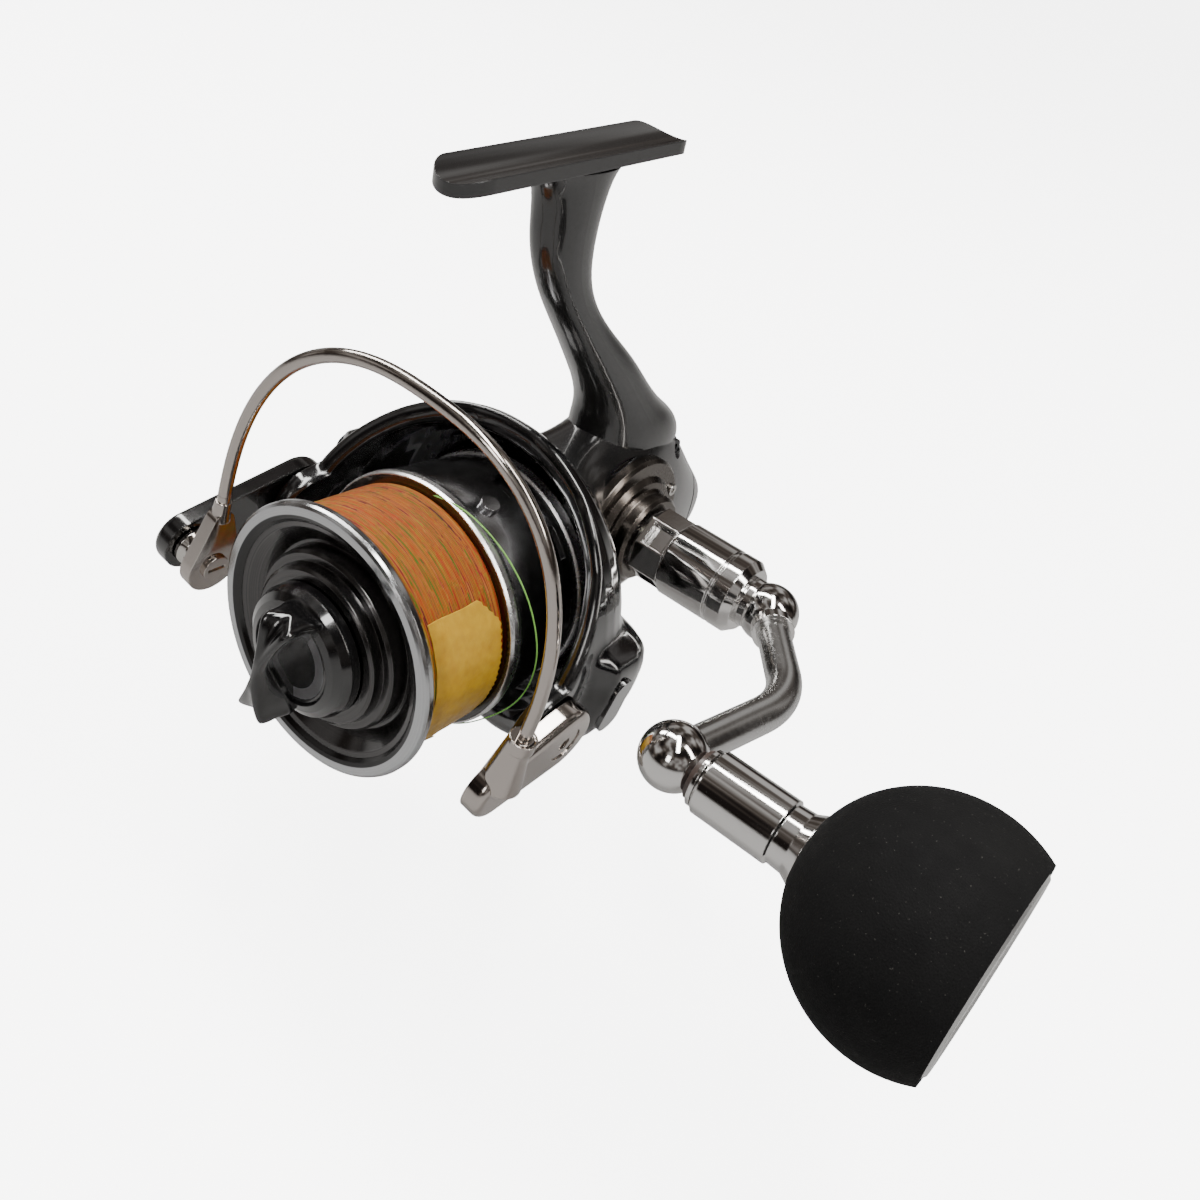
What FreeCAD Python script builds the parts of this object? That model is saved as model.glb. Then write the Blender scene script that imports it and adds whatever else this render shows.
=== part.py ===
"""Spinning reel with a front drag, a bail and a round power knob, as separate solids.

The drawing frame has the main shaft along Y, with the spool's front lip at y = 0 and the body
behind it at +Y. The handle is on the +X side and the foot is up, at +Z. Every solid is moved to
the reel's own frame when it is written: there the origin is the middle of the foot's seat.
"""
import FreeCAD
import Part
import math
import os

V = FreeCAD.Vector

# ---------------------------------------------------------------- overall sizes, in mm
FOOT_LENGTH = 70.0
FOOT_WIDTH = 13.0
FOOT_MIDDLE_Y = 48.6
FOOT_HEIGHT = 100.4          # spool axis to the foot's seat
FOOT_TROUGH_RADIUS = 12.2    # the seat is hollowed to lie against a round rod blank
FOOT_THICKNESS = 2.6
FOOT_PITCH = 3.0             # degrees the seat rises towards the back
HUB_Y = 86.2                 # handle axis, behind the spool's lip
HUB_Z = 6.5                  # handle axis, above the main shaft
BODY_FRONT_Y = 59.0
BODY_TAIL_Y = 136.5
BODY_HALF_WIDTH = 14.0
COLLAR_RADIUS = 28.0         # round front of the body, behind the rotor
COVER_PLANE_X = -9.0         # side cover meets the body here
TAIL_PLANE_Y = 122.5         # tail cover meets the body here

# fits
RUN = 0.06                   # radial clearance of a shaft in its bore
GAP = 0.4                    # clearance between pieces that pass each other

# main shaft, gears and what guides them
SHAFT_RADIUS = 3.0
SHAFT_ENTRY = 3.1            # how far the shaft's front end stands inside the drag knob
STROKE = 21.0                # travel of the spool
GEAR_TEETH = 57
GEAR_RADIUS = 17.5
GEAR_BORE_WALL = 3.2         # outer radius of the gear's own shaft
GEAR_FACE_WIDTH = 4.4
GEAR_TOOTH_HEIGHT = 1.5
GEAR_DISC_WALL = 3.0
PINION_TEETH = 10
PINION_RADIUS = 5.1
PINION_ROOT_RADIUS = 4.3
PINION_SLEEVE_RADIUS = 4.2
PINION_TOOTH_LENGTH = 12.0
SLIDE_PINION_TEETH = 18
SLIDE_PINION_RADIUS = 7.0
SLIDE_GEAR_TEETH = 34
SLIDE_GEAR_RADIUS = 13.2
SLIDE_GEAR_OFFSET_Y = 15.4   # slide gear's centre behind the handle axis
SLIDE_GEAR_PIN_RADIUS = 1.5
SLIDE_GEAR_THICKNESS = 1.6
SLIDER_LENGTH = 6.0
RAIL_RADIUS = 1.2
SLIDER_LOW = V(-6.6, 0, -8.6)
SLIDER_HIGH = V(5.2, 0, 4.6)
RAIL_XS = (-4.8, 3.2)
RAIL_Z = -6.2
BEARING_WIDTH = 4.0
BEARING_RADIUS = 8.0
CLUTCH_RADIUS = 12.0
CLUTCH_LENGTH = 4.6
CLUTCH_SPACER = 0.6
SPOOL_SEAT_RADIUS = 7.2
SPOOL_SEAT_LENGTH = 3.0

# gear-shaft boss on the handle side, dust cap on the other side
BOSS_FLANGE_RADIUS = 19.0
BOSS_FLANGE_FRONT_X = 15.0
BOSS_FLANGE_WALL = 3.0
BOSS_NECK_RADIUS = 11.5
BOSS_NECK_END_X = 21.0
COVER_BOSS_RADIUS = 11.0
COVER_BOSS_END_X = -18.0
CAP_WALL = 2.0
BOSS_SCREW_RADIUS = 1.5
BOSS_SCREW_ANGLE = 25.0      # degrees up from straight back

# body screws, each at (seat x, y, z)
COVER_SCREWS = ((-13.6, 70.0, 17.0), (-10.8, 76.0, -17.5), (-10.8, 116.0, 7.5))
COVER_SCREW_RADIUS = 2.0
BODY_SCREW = (8.4, 107.0, 21.5)
BODY_SCREW_RADIUS = 2.2
SCREW_HEAD = 1.2
SCREW_SHANK = 7.0
TAIL_SEAM = 0.8              # depth of the line between the tail cover and the housing

# spool
LIP_RADIUS = 30.6
LIP_Y = -1.2                 # front of the lip
LIP_INNER_RADIUS = 26.2
ARBOR_RADIUS = 19.0
ARBOR_WALL = 2.5
SPOOL_HUB_RADIUS = 8.0
SPOOL_HUB_REAR_Y = 30.0
LINE_REAR_Y = 25.2
SKIRT_FRONT_RADIUS = 29.2
SKIRT_REAR_RADIUS = 27.2
SKIRT_INNER_RADIUS = 25.8
SKIRT_END_Y = 54.2
SKIRT_WINDOWS = 10
WINDOW_LENGTH = 6.5          # along the spool axis
WINDOW_WIDTH = 7.5
WINDOW_START = 10.0          # degrees of the first window from the top
BAND_HEIGHT = 0.6
BAND_LENGTH = 3.6
LIP_BACK_RADIUS = 29.0
LIP_BACK_Y = 2.4
LINE_FRONT_RADIUS = 28.2
LINE_REAR_RADIUS = 27.6
TAPE_THICKNESS = 0.25
TAPE_FRONT_MARGIN = 1.6
TAPE_REAR_MARGIN = 0.8
TAPE_WRAP = 82.0             # degrees of the winding that the tape covers
TAPE_START = -36.0
CLIP_RADIUS = 2.2
CLIP_ANGLE = 18.5

# drag knob
KNOB_BASE_RADIUS = 14.6
KNOB_BASE_DEPTH = 5.6
GRIP_LENGTH = 27.0
GRIP_WIDTH = 5.6
GRIP_FRONT_Y = -18.5
GRIP_TURN = 10.0

# rotor
ROTOR_BACK_Y = 58.6
ROTOR_DISC_WALL = 3.4
ROTOR_CUP_RADIUS = 24.8
ROTOR_CUP_WALL = 2.2
ROTOR_CUP_FRONT_Y = 34.0
ROTOR_HUB_RADIUS = 9.0
NUT_RADIUS = 7.0
NUT_WALL = 4.0
ARM_OUTER_RADIUS = 42.0
ARM_WALL = 4.4
ARM_TIP_HALF_WIDTH = 9.0
ARM_RIB_HEIGHT = 4.6
ROTOR_TURN = 9.5             # degrees the rotor stands turned from the handle side

# bail
BAIL_PIVOT_Y = 28.5
BAIL_PIVOT_Z = -3.2
LEVER_WALL = 4.8
LEVER_PIVOT_RADIUS = 8.6
LEVER_TIP_RADIUS = 6.6
RIGHT_TIP_Y = 9.0
RIGHT_TIP_Z = -6.5
LEFT_TIP_Y = -0.8            # the line roller turns here
LEFT_TIP_Z = -7.0
WIRE_RADIUS = 1.45
WIRE_HEIGHT = 55.5           # from its feet to its top
WIRE_FOOT_Z = 11.0
WIRE_POWER = 2.45            # squareness of the wire's loop
WIRE_LEAN = 0.045            # forward lean of the loop, as a slope
PIVOT_PIN_RADIUS = 2.0
PIVOT_HEAD_RADIUS = 4.4
PIVOT_SOCKET_RADIUS = 1.7
ROLLER_RADIUS = 4.6
ROLLER_LENGTH = 4.4
CAP_PLATE_WALL = 3.2

# handle
SHANK_START_X = 22.0
SHANK_ACROSS = 17.4
SLEEVE_RADIUS = 9.6
SLEEVE_START_X = 30.0
SLEEVE_END_X = 49.0
ELBOW_X = 57.0
ELBOW_RADIUS = 7.2
ARM_ROD_RADIUS = 3.9
ARM_BEND = V(79.0, 57.0, 9.5)
KNOB_X = 73.7
KNOB_Y = 20.3
KNOB_Z = 11.5
KNOB_SOCKET_RADIUS = 7.0
KNOB_POST_RADIUS = 3.0
KNOB_BEARING_RADIUS = 5.6
KNOB_SLEEVE_RADIUS = 6.7
KNOB_SLEEVE_LENGTH = 22.6
KNOB_BALL_RADIUS = 24.6
KNOB_BALL_X = 127.8
KNOB_CUT_X = 139.5           # the ball is cut flat here for its end cap

AXIS_X = V(1, 0, 0)
AXIS_Y = V(0, 1, 0)
AXIS_Z = V(0, 0, 1)
HUB = V(0, HUB_Y, HUB_Z)
KNOB = V(KNOB_X, KNOB_Y, KNOB_Z)
SEAT = V(0, FOOT_MIDDLE_Y, FOOT_HEIGHT)


# ---------------------------------------------------------------- drawing helpers
def rod(radius, start, end):
    """Solid round bar from one point to another."""
    along = end - start
    return Part.makeCylinder(radius, along.Length, start, along)


def tube(outer, inner, start, end):
    """Round bar with a bore right through it."""
    return rod(outer, start, end).cut(rod(inner, start, end))


def along_y(y, z=0.0):
    """Point straight above, on or below the spool axis."""
    return V(0, y, z)


def at_hub(x):
    """Point on the handle axis."""
    return V(x, HUB_Y, HUB_Z)


def at_knob(x):
    """Point on the knob's axis, which runs beside the handle axis."""
    return V(x, KNOB_Y, KNOB_Z)


def hexagon(centre, radius, across, up):
    """Corners of a hexagon spread along two directions."""
    corners = []
    for k in range(6):
        angle = k * math.pi / 3
        corners.append(centre + across * (radius * math.cos(angle)) + up * (radius * math.sin(angle)))
    return corners


def face_of(points):
    """Flat face inside a closed run of corners."""
    return Part.Face(Part.makePolygon(points + [points[0]]))


def turned(profile):
    """Solid of revolution about the spool axis from a closed list of (radius, y)."""
    return face_of([V(r, y, 0) for r, y in profile]).revolve(V(0, 0, 0), AXIS_Y, 360)


def turned_about(profile, centre):
    """Solid of revolution about an axis along X through centre, from a list of (x, radius)."""
    points = [V(x, centre.y, centre.z + r) for x, r in profile]
    return face_of(points).revolve(V(0, centre.y, centre.z), AXIS_X, 360)


def ball_on_x(centre, radius, x_start, x_end):
    """Ball turned about an axis along X, kept between two X positions."""
    def rim(x):
        return V(x, centre.y, centre.z + math.sqrt(max(radius ** 2 - (x - centre.x) ** 2, 0.0)))

    start = rim(x_start)
    end = rim(x_end)
    edges = [Part.Arc(start, rim((x_start + x_end) / 2), end).toShape()]
    corners = [end, V(x_end, centre.y, centre.z), V(x_start, centre.y, centre.z), start]
    for a, b in zip(corners, corners[1:]):
        if a.distanceToPoint(b) > 1e-6:
            edges.append(Part.makeLine(a, b))
    return Part.Face(Part.Wire(edges)).revolve(V(0, centre.y, centre.z), AXIS_X, 360)


def box(low, high):
    """Box between its lowest and highest corner."""
    return Part.makeBox(high[0] - low[0], high[1] - low[1], high[2] - low[2], V(*low))


def gear_outline(teeth, root, tip, phase=0.0):
    """Corners of a straight-sided gear as (across, up), four to a tooth."""
    corners = []
    for tooth in range(teeth):
        for share, radius in ((0.0, root), (0.28, tip), (0.5, tip), (0.78, root)):
            angle = 2 * math.pi * (tooth + share + phase) / teeth
            corners.append((radius * math.cos(angle), radius * math.sin(angle)))
    return corners


def link_plate(x0, x1, big, small):
    """Plate in the YZ plane round two circles, each ((y, z), radius), between x0 and x1."""
    big_centre, big_radius = big
    small_centre, small_radius = small
    reach_y = small_centre[0] - big_centre[0]
    reach_z = small_centre[1] - big_centre[1]
    heading = math.atan2(reach_z, reach_y)
    spread = math.acos((big_radius - small_radius) / math.hypot(reach_y, reach_z))
    corners = []
    for (y, z), radius, side in ((*big, 1), (*small, 1), (*small, -1), (*big, -1)):
        angle = heading + side * spread
        corners.append(V(x0, y + radius * math.cos(angle), z + radius * math.sin(angle)))
    web = face_of(corners).extrude(V(x1 - x0, 0, 0))
    discs = [rod(radius, V(x0, *centre), V(x1, *centre)) for centre, radius in (big, small)]
    return web.fuse(discs).removeSplitter()


def oval_wire(centre, half_a, half_b, direction_a, direction_b, power):
    """Closed smooth curve round centre: a superellipse, boxier as power grows."""
    count = 24
    points = []
    for step in range(count):
        angle = 2 * math.pi * step / count
        c = math.cos(angle)
        s = math.sin(angle)
        a = half_a * math.copysign(abs(c) ** (2.0 / power), c)
        b = half_b * math.copysign(abs(s) ** (2.0 / power), s)
        points.append(centre + direction_a * a + direction_b * b)
    curve = Part.BSplineCurve()
    curve.interpolate(Points=points, PeriodicFlag=True)
    return Part.Wire([curve.toShape()])


def turn_with_rotor(shape):
    """The rotor, bail and roller are drawn square and stand turned about the spool axis."""
    turned_shape = shape.copy()
    turned_shape.rotate(V(0, 0, 0), AXIS_Y, ROTOR_TURN)
    return turned_shape


PARTS = {}


def add(node, shape):
    """Keep a finished solid under its node name."""
    PARTS[node] = shape


# ---------------------------------------------------------------- body, stem and foot
def foot():
    """Gutter-shaped plate with round ends that the rod's reel seat holds."""
    centre_z = FOOT_HEIGHT + math.sqrt(FOOT_TROUGH_RADIUS ** 2 - (FOOT_WIDTH / 2) ** 2)
    front = FOOT_MIDDLE_Y - FOOT_LENGTH / 2
    back = FOOT_MIDDLE_Y + FOOT_LENGTH / 2
    gutter = tube(FOOT_TROUGH_RADIUS + FOOT_THICKNESS, FOOT_TROUGH_RADIUS,
                  along_y(front, z=centre_z), along_y(back, z=centre_z))
    half = FOOT_WIDTH / 2
    low = FOOT_HEIGHT - 2 * FOOT_TROUGH_RADIUS
    plan = box((-half, front + half, low), (half, back - half, FOOT_HEIGHT))
    for end_y in (front + half, back - half):
        plan = plan.fuse(rod(half, V(0, end_y, low), V(0, end_y, FOOT_HEIGHT)))
    plate = gutter.common(plan)
    plate.rotate(SEAT, AXIS_X, FOOT_PITCH)
    return plate


def stem():
    """S-shaped leg from the foot down into the body, as ovals in level planes."""
    ovals = (                    # z, middle y, half width, half depth
        (FOOT_HEIGHT - 3.4, 50.0, 6.2, 14.0),
        (92.0, 51.0, 6.0, 9.8),
        (82.0, 52.0, 5.6, 8.2),
        (72.0, 55.4, 5.3, 7.0),
        (60.0, 65.0, 5.8, 7.2),
        (48.0, 77.5, 7.2, 9.6),
        (34.0, 90.0, 9.6, 13.5),
        (20.0, 95.0, 11.0, 16.0),
    )
    wires = [oval_wire(V(0, y, z), a, b, AXIS_X, AXIS_Y, 2.2) for z, y, a, b in ovals]
    return Part.makeLoft(wires, True, False)


def body_envelope():
    """Outside of the gear housing, from the round collar to the tail."""
    w = BODY_HALF_WIDTH
    tail = BODY_TAIL_Y
    ovals = (                    # y, half width, lowest z, highest z
        (BODY_FRONT_Y + 4.0, COLLAR_RADIUS - 3.0, -COLLAR_RADIUS + 3.0, COLLAR_RADIUS - 3.0),
        (69.0, w + 4.0, -26.5, 27.5),
        (77.0, w, -26.5, 30.0),
        (HUB_Y + 1.0, w, -26.0, 33.0),
        (100.0, w, -24.5, 32.5),
        (112.0, w - 0.8, -21.5, 23.0),
        (TAIL_PLANE_Y + 1.0, w - 3.0, -16.5, 11.5),
        (tail - 4.0, w - 6.5, -11.0, 3.0),
        (tail, 3.0, -7.0, -2.0),
    )
    wires = []
    for y, half_width, low, high in ovals:
        middle = V(0, y, (low + high) / 2)
        wires.append(oval_wire(middle, half_width, (high - low) / 2, AXIS_X, V(0, 0, 1), 2.5))
    shell = Part.makeLoft(wires, True, False)
    collar = rod(COLLAR_RADIUS, along_y(BODY_FRONT_Y), along_y(BODY_FRONT_Y + 5.0))
    return shell.fuse(collar)


def gear_space():
    """Hollow of the housing: round well for the gears, tunnel for the slider, shaft bores."""
    well_floor_x = BOSS_FLANGE_FRONT_X - BOSS_FLANGE_WALL - 1.2
    space = rod(GEAR_RADIUS + 1.0, at_hub(COVER_PLANE_X), at_hub(well_floor_x))
    slide = slide_gear_centre()
    space = space.fuse(rod(SLIDE_GEAR_RADIUS + 0.8, V(COVER_PLANE_X, slide.y, slide.z),
                           V(COVER_PLANE_X + SLIDE_GEAR_THICKNESS + 1.0, slide.y, slide.z)))
    space = space.fuse(box((COVER_PLANE_X, HUB_Y, -9.0), (6.5, slider_rear() + 1.0, 5.0)))
    clutch_end = BODY_FRONT_Y + CLUTCH_LENGTH
    space = space.fuse(rod(CLUTCH_RADIUS, along_y(BODY_FRONT_Y), along_y(clutch_end)))
    space = space.fuse(rod(BEARING_RADIUS, along_y(clutch_end), along_y(HUB_Y - GEAR_RADIUS + 4.0)))
    return space


def slider_rear():
    """Back of the slider with the spool fully back: its stroke ends clear of the gear shaft."""
    return HUB_Y + GEAR_BORE_WALL + 2 * GAP + STROKE + SLIDER_LENGTH


def slide_gear_centre():
    reach = SLIDE_PINION_RADIUS + SLIDE_GEAR_RADIUS + GAP / 2
    drop = math.sqrt(reach ** 2 - SLIDE_GEAR_OFFSET_Y ** 2)
    return V(0, HUB_Y + SLIDE_GEAR_OFFSET_Y, HUB_Z - drop)


def screw_along_x(x_seat, x_head, y, z, radius):
    """Small screw lying along X: its head carries a hexagon socket."""
    side = math.copysign(1.0, x_head - x_seat)
    head = rod(radius, V(x_seat, y, z), V(x_head, y, z))
    shank = rod(radius * 0.5, V(x_seat - side * SCREW_SHANK, y, z), V(x_seat, y, z))
    corners = hexagon(V(x_head, y, z), radius * 0.5, AXIS_Y, AXIS_Z)
    socket = face_of(corners).extrude(V(-side * 0.7 * abs(x_head - x_seat), 0, 0))
    return head.fuse(shank).cut(socket)


def make_body():
    """Housing cast in one with the stem and foot, with its two covers and their screws."""
    envelope = body_envelope()
    cover_space = box((-40, BODY_FRONT_Y + 5.0, -40), (COVER_PLANE_X, TAIL_PLANE_Y, 31.0))
    tail_space = box((-40, TAIL_PLANE_Y, -40), (40, BODY_TAIL_Y + 10, 30.0))
    boss_seat = rod(BOSS_FLANGE_RADIUS, at_hub(BOSS_FLANGE_FRONT_X - BOSS_FLANGE_WALL), at_hub(40))
    boss_bore = rod(BEARING_RADIUS, at_hub(0), at_hub(40))

    screw_holes = []
    for index, (seat_x, y, z) in enumerate(COVER_SCREWS):
        screw = screw_along_x(seat_x, seat_x - SCREW_HEAD, y, z, COVER_SCREW_RADIUS)
        well = rod(COVER_SCREW_RADIUS + 0.2, V(seat_x, y, z), V(seat_x - 9.0, y, z))
        screw_holes += [screw, well]
        add("cover_screw_%d" % (index + 1), screw)
    seat_x, y, z = BODY_SCREW
    body_screw = screw_along_x(seat_x, seat_x + SCREW_HEAD, y, z, BODY_SCREW_RADIUS)
    body_well = rod(BODY_SCREW_RADIUS + 0.2, V(seat_x, y, z), V(seat_x + 9.0, y, z))
    add("body_screw", body_screw)

    housing = envelope.fuse(stem()).fuse(foot()).cut(gear_space())
    for space in (cover_space, tail_space, boss_seat, boss_bore, body_screw, body_well, *screw_holes):
        housing = housing.cut(space)
    add("body_housing", housing)

    cover = envelope.common(cover_space)
    cover = cover.fuse(rod(COVER_BOSS_RADIUS, at_hub(COVER_PLANE_X), at_hub(COVER_BOSS_END_X)))
    cover = cover.cut(rod(BEARING_RADIUS, at_hub(COVER_PLANE_X), at_hub(COVER_BOSS_END_X)))
    for space in screw_holes:
        cover = cover.cut(space)
    slide = slide_gear_centre()
    pin_root = V(COVER_PLANE_X - 2.0, slide.y, slide.z)
    pin_tip = V(COVER_PLANE_X + SLIDE_GEAR_THICKNESS + 0.3, slide.y, slide.z)
    add("side_cover", cover.fuse(rod(SLIDE_GEAR_PIN_RADIUS, pin_root, pin_tip)))

    seam = box((-BODY_HALF_WIDTH, TAIL_PLANE_Y, -40), (BODY_HALF_WIDTH, TAIL_PLANE_Y + TAIL_SEAM, 40))
    seam = seam.cut(box((-8.5, TAIL_PLANE_Y, -13.0), (8.5, TAIL_PLANE_Y + TAIL_SEAM, 8.5)))
    add("tail_cover", envelope.common(tail_space).cut(seam))


def make_boss():
    """Stepped boss that carries the gear shaft at the handle, and the cap over its other end."""
    face_x = BOSS_FLANGE_FRONT_X
    flange = BOSS_FLANGE_RADIUS
    neck = BOSS_NECK_RADIUS
    profile = (
        (face_x - BOSS_FLANGE_WALL, BEARING_RADIUS), (face_x - BOSS_FLANGE_WALL, flange),
        (face_x - 0.8, flange), (face_x, flange - 0.8), (face_x, flange - 4.2), (face_x + 1.4, flange - 5.4),
        (face_x + 1.6, neck + 0.6), (face_x + 2.6, neck), (BOSS_NECK_END_X - 0.8, neck),
        (BOSS_NECK_END_X, neck - 0.8), (BOSS_NECK_END_X, BEARING_RADIUS))
    boss = turned_about(profile, HUB)
    screw_reach = flange - 2.6
    screw_angle = math.radians(BOSS_SCREW_ANGLE)
    screw_y = HUB_Y + screw_reach * math.cos(screw_angle)
    screw_z = HUB_Z + screw_reach * math.sin(screw_angle)
    screw = screw_along_x(face_x, face_x + 0.7, screw_y, screw_z, BOSS_SCREW_RADIUS)
    screw = screw.common(box((face_x - 2.2, 0, -50), (40, 200, 50)))
    add("gear_boss", boss.cut(screw))
    add("boss_screw", screw)
    bearing_end = BOSS_NECK_END_X - 0.6
    add("handle_bearing", tube(BEARING_RADIUS, GEAR_BORE_WALL + RUN,
                               at_hub(bearing_end - BEARING_WIDTH), at_hub(bearing_end)))
    add("cover_bearing", tube(BEARING_RADIUS, GEAR_BORE_WALL + RUN,
                              at_hub(COVER_PLANE_X - 0.6 - BEARING_WIDTH), at_hub(COVER_PLANE_X - 0.6)))
    end = COVER_BOSS_END_X
    rim = COVER_BOSS_RADIUS - 1.2
    cap_profile = (
        (end + 2.5, 0), (end + 2.5, BEARING_RADIUS), (end, BEARING_RADIUS), (end, rim),
        (end - CAP_WALL + 0.6, rim), (end - CAP_WALL, rim - 0.8), (end - CAP_WALL, 4.0),
        (end - 0.8, 2.8), (end - 0.8, 0))
    add("cover_cap", turned_about(cap_profile, HUB))


# ---------------------------------------------------------------- gears, shaft and slider
def gear_on_x(teeth, root, tip, centre, x0, x1, bore, phase=0.0):
    """Spur gear about an axis along X, between x0 and x1, with a bore."""
    corners = [V(x0, centre.y + a, centre.z + b) for a, b in gear_outline(teeth, root, tip, phase)]
    blank = face_of(corners).extrude(V(x1 - x0, 0, 0))
    return blank.cut(rod(bore, V(x0, centre.y, centre.z), V(x1, centre.y, centre.z)))


def make_drive_gear():
    """Face gear: a disc with radial teeth towards the pinion, on a long hollow-ended shaft."""
    face_x = PINION_RADIUS + GAP
    ring_inner = GEAR_RADIUS - GEAR_FACE_WIDTH
    ring = tube(GEAR_RADIUS, ring_inner, at_hub(face_x), at_hub(face_x + GEAR_TOOTH_HEIGHT))
    notch_half = math.pi * ring_inner / GEAR_TEETH / 2
    notches = []
    for tooth in range(GEAR_TEETH):
        notch = box((face_x, HUB_Y + ring_inner - 1, HUB_Z - notch_half),
                    (face_x + GEAR_TOOTH_HEIGHT - 0.2, HUB_Y + GEAR_RADIUS + 1, HUB_Z + notch_half))
        notch.rotate(HUB, AXIS_X, 360.0 * tooth / GEAR_TEETH)
        notches.append(notch)
    ring = ring.cut(Part.makeCompound(notches))
    disc_start = face_x + GEAR_TOOTH_HEIGHT
    disc = rod(GEAR_RADIUS, at_hub(disc_start), at_hub(disc_start + GEAR_DISC_WALL))
    shaft = rod(GEAR_BORE_WALL, at_hub(COVER_PLANE_X - 5.0), at_hub(SHANK_START_X))
    add("drive_gear", disc.fuse(ring).fuse(shaft))
    pinion_x = COVER_PLANE_X + 0.2
    add("slide_pinion", gear_on_x(SLIDE_PINION_TEETH, SLIDE_PINION_RADIUS - 1.0, SLIDE_PINION_RADIUS, HUB,
                                  pinion_x, pinion_x + SLIDE_GEAR_THICKNESS, GEAR_BORE_WALL))


def make_slide_gear():
    """Idler that drives the slider: the stud on its face stands half a stroke off its centre."""
    centre = slide_gear_centre()
    x0 = COVER_PLANE_X + 0.2
    x1 = x0 + SLIDE_GEAR_THICKNESS - 0.2
    wheel = gear_on_x(SLIDE_GEAR_TEETH, SLIDE_GEAR_RADIUS - 1.0, SLIDE_GEAR_RADIUS, centre, x0, x1,
                      SLIDE_GEAR_PIN_RADIUS + RUN, 0.5)
    stud_y = centre.y + STROKE / 2
    stud = rod(1.0, V(x1, stud_y, centre.z), V(x1 + 0.5, stud_y, centre.z))
    add("slide_gear", wheel.fuse(stud))


def make_pinion():
    """Hollow pinion that carries the rotor, in its one-way clutch and its bearing."""
    clutch_end = BODY_FRONT_Y + CLUTCH_LENGTH
    bearing_start = clutch_end + CLUTCH_SPACER
    tooth_start = bearing_start + BEARING_WIDTH + CLUTCH_SPACER
    tooth_end = tooth_start + PINION_TOOTH_LENGTH
    outline = gear_outline(PINION_TEETH, PINION_ROOT_RADIUS, PINION_RADIUS)
    corners = [V(a, tooth_start, b) for a, b in outline]
    teeth = face_of(corners).extrude(V(0, PINION_TOOTH_LENGTH, 0))
    sleeve = rod(PINION_SLEEVE_RADIUS, along_y(nut_front_y()), along_y(tooth_start))
    bore = rod(SHAFT_RADIUS + RUN, along_y(nut_front_y()), along_y(tooth_end))
    add("pinion_gear", teeth.fuse(sleeve).cut(bore))
    sleeve_bore = PINION_SLEEVE_RADIUS + RUN
    clutch_start = BODY_FRONT_Y + 0.2
    bearing_end = bearing_start + BEARING_WIDTH
    add("one_way_clutch", tube(CLUTCH_RADIUS, sleeve_bore, along_y(clutch_start), along_y(clutch_end)))
    add("pinion_bearing", tube(BEARING_RADIUS, sleeve_bore, along_y(bearing_start), along_y(bearing_end)))


def nut_front_y():
    """Front of the nut that holds the rotor on the pinion."""
    return ROTOR_BACK_Y - ROTOR_DISC_WALL - 12.0


def make_shaft():
    """Main shaft with the slider that pushes it to and fro along two rails."""
    rear = slider_rear()
    front = rear - SLIDER_LENGTH
    slider = box((SLIDER_LOW.x, front, SLIDER_LOW.z), (SLIDER_HIGH.x, rear, SLIDER_HIGH.z))
    for index, x in enumerate(RAIL_XS):
        slider = slider.cut(rod(RAIL_RADIUS + RUN, V(x, front, RAIL_Z), V(x, rear, RAIL_Z)))
        rail = rod(RAIL_RADIUS, V(x, HUB_Y + 1.0, RAIL_Z), V(x, rear + 1.0, RAIL_Z))
        add("slider_rail_%d" % (index + 1), rail)
    add("main_shaft", rod(SHAFT_RADIUS, along_y(knob_front_y() + SHAFT_ENTRY), along_y(rear)))
    add("slider_block", slider.cut(rod(SHAFT_RADIUS, along_y(front), along_y(rear))))
    seat_front = SPOOL_HUB_REAR_Y + 0.2
    seat_rear = seat_front + SPOOL_SEAT_LENGTH
    add("spool_seat", tube(SPOOL_SEAT_RADIUS, SHAFT_RADIUS, along_y(seat_front), along_y(seat_rear)))


# ---------------------------------------------------------------- spool, line and drag
def flange_y(radius):
    """Back face of the front flange, a shallow cone from the arbor out to the lip."""
    share = (radius - ARBOR_RADIUS) / (LIP_INNER_RADIUS - ARBOR_RADIUS)
    return LIP_Y + 8.5 + (4.4 - 8.5) * share


def spool_front(depth):
    """Place on the spool's front, as a depth behind the lip's front edge."""
    return LIP_Y + 0.2 + depth


def knob_front_y():
    """Front rim of the drag knob's round base, which covers the spool's front socket."""
    return spool_front(-1.9) - GAP - KNOB_BASE_DEPTH


def on_lip_back(radius):
    """Y of the lip's sloping back face, which bears on the line."""
    slope = (LIP_BACK_Y - flange_y(LIP_INNER_RADIUS)) / (LIP_BACK_RADIUS - LIP_INNER_RADIUS)
    return flange_y(LIP_INNER_RADIUS) + slope * (radius - LIP_INNER_RADIUS)


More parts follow.
